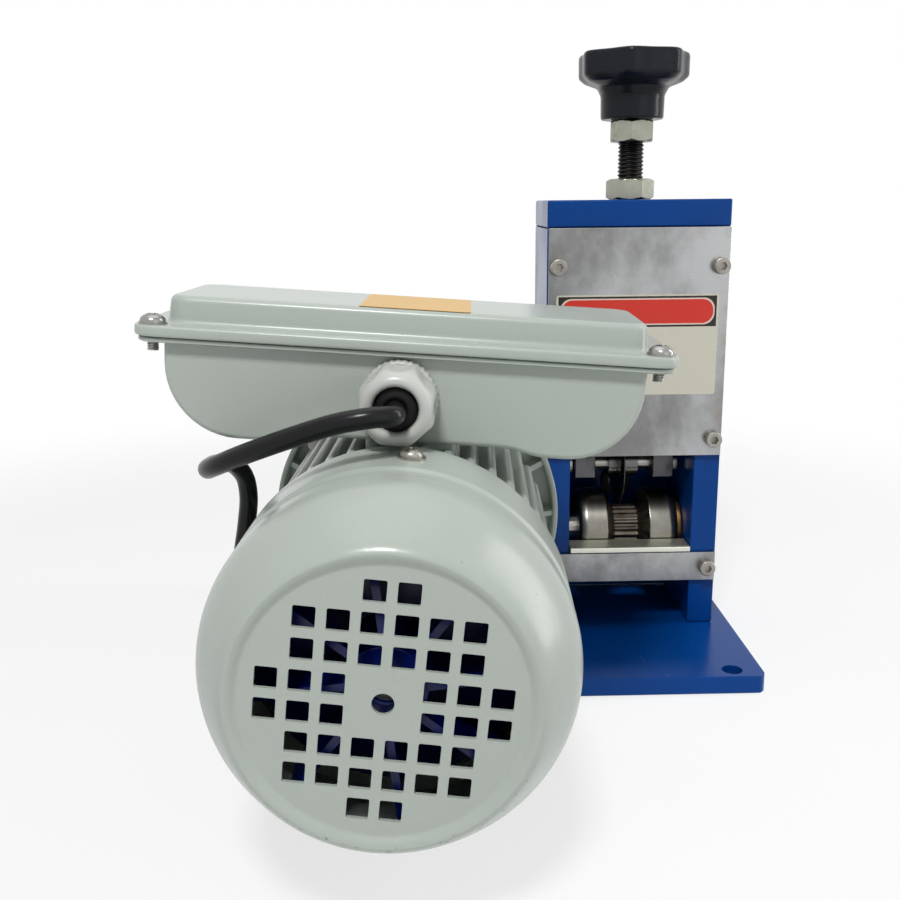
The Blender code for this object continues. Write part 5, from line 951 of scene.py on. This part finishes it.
# Stripping head
def build_head():
    for name, slot, width in (("base_plate", "blue", 1.3), ("side_plate_left", "blue", 0.45),
                              ("side_plate_right", "blue", 0.45), ("top_plate", "blue", 0.5),
                              ("cover_plate", "plate", 0.25), ("lower_strip", "plate", 0.25),
                              ("infeed_plate", "blue", 0.25), ("exit_tray", "tray", 0.35)):
        sheet = broken_edges(name, width * MM)
        piece(name + "_finished", sheet, slot, "frame", [name])
    carriage = broken_edges("blade_carriage", 0.5 * MM)
    piece("carriage_finished", carriage, "carriage", "carriage", ["blade_carriage"])

    # The guide's black finish is painted shade: it stands for the dark inside of the infeed hole.
    guide = turned([(4.0, 50.8), (7.9, 50.8), (7.9, 54.5), (14.0, 54.5), (14.0, 58.0), (8.2, 59.0),
                    (7.4, 80.0), (4.0, 80.0)], 64, True, reach=0.6)
    infeed_hole = Matrix.Translation((0.002, 0.0, 0.066))
    piece("infeed_guide", guide, "rubber", "frame", place=infeed_hole @ Matrix.Rotation(-pi / 2, 4, "X"))

    label = slab(36.6, 22.75, 1.2, 0.0, 0.14)
    label.transform(Matrix.Translation((-0.3 * MM, -2.32 * MM, 143.75 * MM)) @ UP_TO_FRONT)
    piece("front_label", label, "label", "frame")


def build_roller():
    """Roller with a toothed groove between its bushes, and the round blade above it."""
    steps, teeth, shift = 200, 20, 2.0
    tooth_depth, groove_half, run_out, shaft_radius = 0.95, 10.4, 1.2, 8.0
    half = [(19.5, 10.0), (19.5, 20.6), (18.6, 23.1), (16.4, 24.0), (7.8, 24.0)]
    stations = softened([*((r, -x) for r, x in half[::-1]), (11.0, -6.0), (11.0, 6.0), *half], 0.9, 3)
    rings = []
    for radius, x in stations:
        bite = tooth_depth * eased((groove_half - abs(x)) / run_out) if radius > shaft_radius else 0.0
        loop = []
        for i in range(steps):
            angle = tau * i / steps
            wave = eased(1.6 * abs(((teeth * i / steps) % 1.0) * 2 - 1) - 0.3)
            r = (radius - bite * wave) * MM
            loop.append((r * cos(angle), r * sin(angle), (x + shift) * MM))
        rings.append(loop)
    on_roller = Matrix.Translation(ROLLER_PLACE) @ UP_TO_RIGHT
    piece("toothed_roller", lofted(rings, around=True), "roller", "roller", ["feed_roller"], on_roller)

    on_blade = Matrix.Translation(BLADE_PLACE) @ UP_TO_RIGHT
    over_groove = Matrix.Translation((-0.002, 0.0, 0.0))
    disc = turned([(3.8, -5.0), (7.0, -5.0), (7.0, -1.2), (17.5, -1.2), (22.0, -0.12), (22.0, 0.12),
                   (17.5, 1.2), (7.0, 1.2), (7.0, 9.4), (3.8, 9.4)], 128, True, reach=0.25, curve=2)
    piece("round_blade", disc, "blade", "blade", ["blade_disc"], over_groove @ on_blade)
    axle = turned([(0.0, -27.0), (5.6, -27.0), (5.6, -24.2), (3.5, -24.2), (3.5, 24.2), (5.6, 24.2),
                   (5.6, 27.0), (0.0, 27.0)], 48, reach=0.4, curve=2)
    piece("axle_pin", axle, "steel", "carriage", ["blade_axle"], on_blade)

    for side, sign in (("left", -1), ("right", 1)):
        bush = turned([(r, x * sign) for r, x in ((7.8, 26.7), (15.0, 26.7), (15.0, 28.7), (12.0, 28.7),
                                                  (12.0, 41.0), (7.8, 41.0))], 64, True, reach=0.4, curve=2)
        piece(side + "_bush", bush, "bronze", "frame", ["roller_bush_" + side], on_roller)


def build_adjuster():
    """Threaded rod with its collar, the two nuts and the star knob."""
    spot = Matrix.Translation(ROD_PLACE)
    across, thread_radius, nut_bore = 19.0 * MM, 6.0 * MM, 6.05 * MM
    rod = threaded(thread_radius, 0.1410, 0.2620, 1.75 * MM, 0.95 * MM, 32, "rod")
    collar = turned([(0.0, 133.7), (9.2, 133.7), (9.2, 140.7), (0.0, 140.7)], 64, reach=0.5)
    neck = turned([(0.0, 140.6), (4.9, 140.6), (4.9, 141.2), (0.0, 141.2)], 32)
    piece("threaded_rod", joined([rod, collar, neck]), "rod", "adjuster", ["adjusting_screw"], spot)
    upper = hexagonal(across, 233.6 * MM, 243.0 * MM, nut_bore)
    piece("knob_seat_nut", upper, "nut", "adjuster", ["knob_nut"], spot @ Matrix.Rotation(-0.17, 4, "Z"))
    lower = hexagonal(across, 208.05 * MM, 217.3 * MM, nut_bore)
    piece("head_lock_nut", lower, "nut", "lock_nut", ["lock_nut"], spot @ Matrix.Rotation(0.34, 4, "Z"))

    lobes, steps_per_lobe, lobe_depth, tip_radius = 7, 20, 2.6, 0.01
    steps = lobes * steps_per_lobe
    as_length = 8.0         # a share of the lobes, drawn as a length so that softened rounds it too
    stations = [(6.3, 262.6, 0.0), (6.3, 243.3, 0.0), (13.6, 243.3, 0.0), (14.2, 244.0, 0.0),
                (14.4, 253.6, 0.0), (16.6, 257.4, 0.3), (22.6, 259.6, 0.75), (25.5, 262.0, 1.0),
                (25.6, 271.2, 1.0), (24.6, 272.2, 0.95), (17.0, 272.2, 0.4), (12.5, 271.2, 0.0),
                (0.0, 271.0, 0.0)]
    rings = []
    for radius, z, length in softened([(r, z, share * as_length) for r, z, share in stations], 1.2, 4):
        loop = []
        for i in range(steps):
            angle = tau * i / steps
            wave = (0.5 - 0.5 * cos(lobes * angle)) ** 0.8
            r = max(radius - lobe_depth * length / as_length * wave, tip_radius) * MM
            loop.append((r * cos(angle), r * sin(angle), z * MM))
        rings.append(loop)
    piece("star_knob", lofted(rings), "knob", "adjuster", ["knob"], spot)


# Gear unit and motor
def build_gear_unit():
    piece("gear_housing", broken_edges("gearbox_housing", 1.2 * MM), "gear", "frame", ["gearbox_housing"])
    side_cover = turned([(7.3, -76.8), (30.0, -76.8), (30.0, -70.3), (23.7, -70.3), (23.7, -67.3),
                         (7.3, -67.3)], 96, True, reach=0.9)
    piece("gear_side_cover", side_cover, "gear", "frame", ["gearbox_side_cover"], UNIT @ UP_TO_RIGHT)
    adapter = turned([(12.0, 40.3), (30.0, 40.3), (30.0, 47.3), (26.0, 47.3), (26.0, 56.7), (52.0, 56.7),
                      (52.0, 63.7), (12.0, 63.7)], 96, True, reach=1.2)
    worm_axis = UNIT @ Matrix.Translation((-0.042, 0.0, 0.030))
    piece("gear_adapter", adapter, "gear", "frame", ["gearbox_adapter"], worm_axis @ UP_TO_FRONT)


def fin_template():
    """One cooling fin with a rounded crest, standing on the frame, its length along -Y."""
    foot, high = 46.8, 6.2
    outline = softened([(-2.5, foot), (-1.65, 52.0), (-1.1, 53.0), (1.1, 53.0), (1.65, 52.0),
                        (2.5, foot)], 0.7, 2)
    rings = []
    for m, drop in ((25.0, 0.8), (25.8, 0.15), (27.0, 0.0), (115.0, 0.0), (116.2, 0.15), (117.0, 0.8)):
        rings.append([(x * MM, -m * MM, (foot + (z - foot) * (1 - drop / high)) * MM) for x, z in outline])
    return lofted(rings)


def build_motor():
    along_motor = MOTOR @ UP_TO_FRONT
    web = turned([(7.3, 0.0), (60.0, 0.0), (60.0, 12.0), (57.9, 12.0), (57.2, 3.2), (48.6, 3.2), (47.0, 24.7),
                  (43.5, 24.7), (43.5, 5.0), (15.0, 5.0), (15.0, 20.0), (7.3, 20.0)], 144, True, reach=0.8)
    outline = softened([(47.6, 2.8), (57.8, 2.8), (58.4, 10.4), (47.0, 15.5)], 0.4, 2)
    rib = lofted([[(x * MM, y * MM, z * MM) for x, z in outline] for y in (-1.1, 1.1)])
    ribs = scattered("shield_ribs", rib, evenly_turned(16, 2), "motor")
    piece("drive_shield", joined([web, ribs]), "motor", "frame", ["drive_end_shield"], along_motor)

    tube = turned([(41.0, 25.0), (47.5, 25.0), (47.5, 117.0), (41.0, 117.0)], 120, True)
    tube.transform(UP_TO_FRONT)
    fins = scattered("cooling_fins", fin_template(), evenly_turned(40, 1), "motor")
    pad = slab(15.0, 15.0, 2.0, 45.6, 53.5)
    pad.transform(BOX_TILT @ Matrix.Translation((0.0, -90.0 * MM, 0.0)))
    piece("finned_frame", joined([tube, fins, pad]), "motor", "frame", ["motor_frame"], MOTOR)

    rear = turned([(5.3, 114.3), (40.7, 114.3), (40.7, 117.3), (54.8, 117.3), (54.8, 121.7), (54.0, 121.7),
                   (54.0, 139.7), (48.0, 139.7), (48.0, 121.7), (15.0, 121.7), (15.0, 131.3), (5.3, 131.3)],
                  144, True, reach=0.5, curve=2)
    piece("rear_shield", rear, "motor", "frame", ["rear_end_shield"], along_motor)

    root, sweep = 11.0, 0.004
    hub = turned([(5.3, 151.0), (41.0, 151.0), (41.0, 152.6), (14.0, 153.6), (12.0, 175.0), (5.3, 175.0)],
                 96, True, reach=0.6, curve=2)
    outline = softened([(root, 152.0), (45.0, 152.0), (46.0, 154.0), (45.0, 173.0), (42.0, 175.0),
                        (root, 175.0)], 1.5, 3)
    blade = lofted([[(x * MM, y * MM + sweep * MM * (x - root) ** 2, z * MM) for x, z in outline]
                    for y in (-1.2, 1.2)])
    blades = scattered("fan_blades", blade, evenly_turned(8, 2), "fan")
    piece("fan_wheel", joined([hub, blades]), "fan", "rotor", ["cooling_fan"], along_motor)


def build_fan_cover():
    """Deep drawn cover with a dished, pierced face and a pressed ring round its middle."""
    steps, face, flat_radius, hole = 144, 185.0, 38.9, 6.2
    outside, shoulder, groove = 55.5, 159.0, 54.6
    sheet = vent_sheet(flat_radius * MM, steps, 9.05 * MM, hole * MM, hole * MM)
    sheet.transform(Matrix.Translation((0.0, 0.0, face * MM)))
    crown = through([(flat_radius, face), (39.7, 185.2), (41.0, 186.2), (42.0, 186.7), (42.9, 186.75),
                     (44.6, 185.4), (46.9, 182.2), (50.2, 176.9), (52.8, 172.2), (54.6, 167.4), (55.4, 163.0),
                     (outside, shoulder)], 4)
    side = softened([(outside, shoulder), (outside, 154.9), (groove, 153.4), (groove, 147.9),
                     (outside, 146.6), (outside, 122.0)], 0.8, 4)
    drawn = lofted([ring(r * MM, m * MM, steps) for r, m in crown[:-1] + side], caps=False)
    shell = joined([sheet, drawn])
    bmesh.ops.remove_doubles(shell, verts=shell.verts, dist=5e-6)
    bmesh.ops.recalc_face_normals(shell, faces=shell.faces[:])
    outer = max(shell.faces, key=lambda f: f.calc_center_median().to_2d().length)
    if outer.normal.to_2d().dot(outer.calc_center_median().to_2d()) < 0:
        bmesh.ops.reverse_faces(shell, faces=shell.faces[:])
    cover = walled(shell, 1.2 * MM)
    piece("vented_cover", cover, "cover", "frame", ["fan_cover"], COVER @ UP_TO_FRONT)


# Terminal box, gland and switch
def tub_outline(inset, top):
    """The tub seen from the motor's end, open at the top: flat middle, a round lobe at each side."""
    half, floor, low, radius = 77.5 - inset, 53.8 + inset, 51.3 + inset, 24.0 - inset
    lobe_steps = 12
    right = [(half, top), (half, top - (top - low - radius) * 0.5)]
    for i in range(lobe_steps + 1):
        angle = -i / lobe_steps * pi / 2
        right.append((half - radius + radius * cos(angle), low + radius + radius * sin(angle)))
    right += softened([right[-1], (44.0, low), (36.0, floor), (20.0, floor)], 5.0, 5)[1:]
    return right + [(-u, v) for u, v in right[::-1]]


def build_box():
    """Drawn tub with its rim, the pressed lid and the lid's label."""
    middle = Matrix.Translation((BOX_SIDE * MM, BOX_ALONG * MM, 0.0))
    near, far, edge, edge_steps, tub_top = -109.0, -51.0, 1.8, 6, 83.0
    rows = [(edge * (1 - sin(i / edge_steps * pi / 2)), edge * (1 - cos(i / edge_steps * pi / 2)))
            for i in range(edge_steps)] + [(0.0, edge)]
    stations = [(inset, near + along) for inset, along in rows]
    stations += [(inset, far - along) for inset, along in rows[::-1]]
    rings = [[((u + BOX_SIDE) * MM, y * MM, v * MM) for u, v in tub_outline(inset, tub_top)]
             for inset, y in stations]
    tub = walled(lofted(rings, closed=False), 1.6 * MM)
    rim = lofted([rounded(*[s * MM for s in station]) for station in (
        (75.9, 27.4, 1.2, 81.8), (85.6, 31.7, 6.2, 81.8), (86.2, 32.3, 6.8, 82.2), (86.2, 32.3, 6.8, 83.1),
        (85.8, 31.9, 6.4, 83.4), (75.9, 27.4, 1.2, 83.4))], around=True)
    rim.transform(middle)
    piece("drawn_box", joined([tub, rim]), "motor", "frame", ["terminal_box"], LEAN)

    stations = [(74.8, 22.1, 3.6, 94.9), (76.6, 23.9, 5.4, 83.7), (86.9, 33.0, 7.5, 83.7),
                (87.4, 33.5, 8.0, 84.2), (87.4, 33.5, 8.0, 86.7), (86.8, 32.9, 7.4, 87.3),
                (79.3, 26.6, 8.0, 87.3), (78.2, 25.5, 7.0, 88.4), (77.6, 24.9, 6.6, 95.0),
                (76.4, 23.7, 5.4, 96.3), (70.0, 17.5, 4.0, 96.5)]
    lid = lofted([rounded(*[s * MM for s in station], 10) for station in softened(stations, 1.0, 4)])
    lid.transform(middle)
    piece("pressed_lid", lid, "motor", "frame", ["box_lid"], LEAN)
    sticker = slab(18.0, 21.5, 1.0, 96.48, 96.62)
    sticker.transform(Matrix.Translation((-0.001, -0.082, 0.0)))
    piece("lid_label", sticker, "sticker", "frame", place=LEAN)


def gripped(stations, sides, depth, power):
    """A turned shell, drawn in millimetres, whose skin dips at each side by a share of depth."""
    steps = 288
    rings = []
    for radius, height, share in stations:
        loop = []
        for i in range(steps):
            wave = abs(cos(sides * pi * i / steps)) ** power
            r = (radius - depth * share * wave) * MM
            loop.append((r * cos(tau * i / steps), r * sin(tau * i / steps), height * MM))
        rings.append(loop)
    return lofted(rings, around=True)


def build_gland():
    spot = LEAN @ Matrix.Translation((GLAND_SIDE, GLAND_SEAT, GLAND_HIGH)) @ UP_TO_FRONT
    body = softened([(7.6, -6.0, 0.0), (10.0, -6.0, 0.0), (10.0, 0.05, 0.0), (12.2, 0.05, 0.5),
                     (12.6, 0.8, 1.0), (12.6, 4.6, 1.0), (12.0, 5.3, 0.6), (10.0, 5.3, 0.0),
                     (10.0, 17.3, 0.0), (7.6, 17.3, 0.0)], 0.4, 3)
    piece("gland_base", gripped(body, 36, 0.35, 1.0), "gland", "frame", ["gland_body"], spot)
    nut = softened([(10.3, 5.6, 0.0), (12.2, 5.6, 0.6), (12.6, 6.3, 1.0), (12.6, 16.2, 1.0),
                    (12.45, 17.8, 0.7), (11.9, 20.0, 0.25), (10.9, 21.8, 0.0), (9.6, 22.9, 0.0),
                    (8.2, 23.1, 0.0), (7.2, 22.4, 0.0), (7.0, 20.6, 0.0), (7.0, 17.6, 0.0),
                    (10.3, 17.6, 0.0)], 0.8, 4)
    piece("gland_dome_nut", gripped(nut, 8, 1.6, 2.0), "gland", "frame", ["gland_nut"], spot)
    seal = turned([(3.25, 12.5), (6.9, 12.5), (6.9, 20.6), (5.6, 21.2), (4.0, 21.6), (3.25, 21.2)], 72, True,
                  reach=0.5)
    piece("gland_grommet", seal, "rubber", "frame", ["gland_seal"], spot)


def build_far_side():
    piece("switch_bezel", broken_edges("switch_body", 0.5 * MM), "switch", "frame", ["switch_body"])
    piece("rocker_cap", broken_edges("rocker", 0.4 * MM), "rocker", "rocker", ["rocker"])


# Order of work
bpy.context.scene.view_settings.view_transform = "Standard"
set_camera()
build_cord()
set_surroundings()
build_head()
build_roller()
build_adjuster()
build_gear_unit()
build_motor()
build_fan_cover()
build_box()
build_gland()
build_far_side()
build_fasteners()
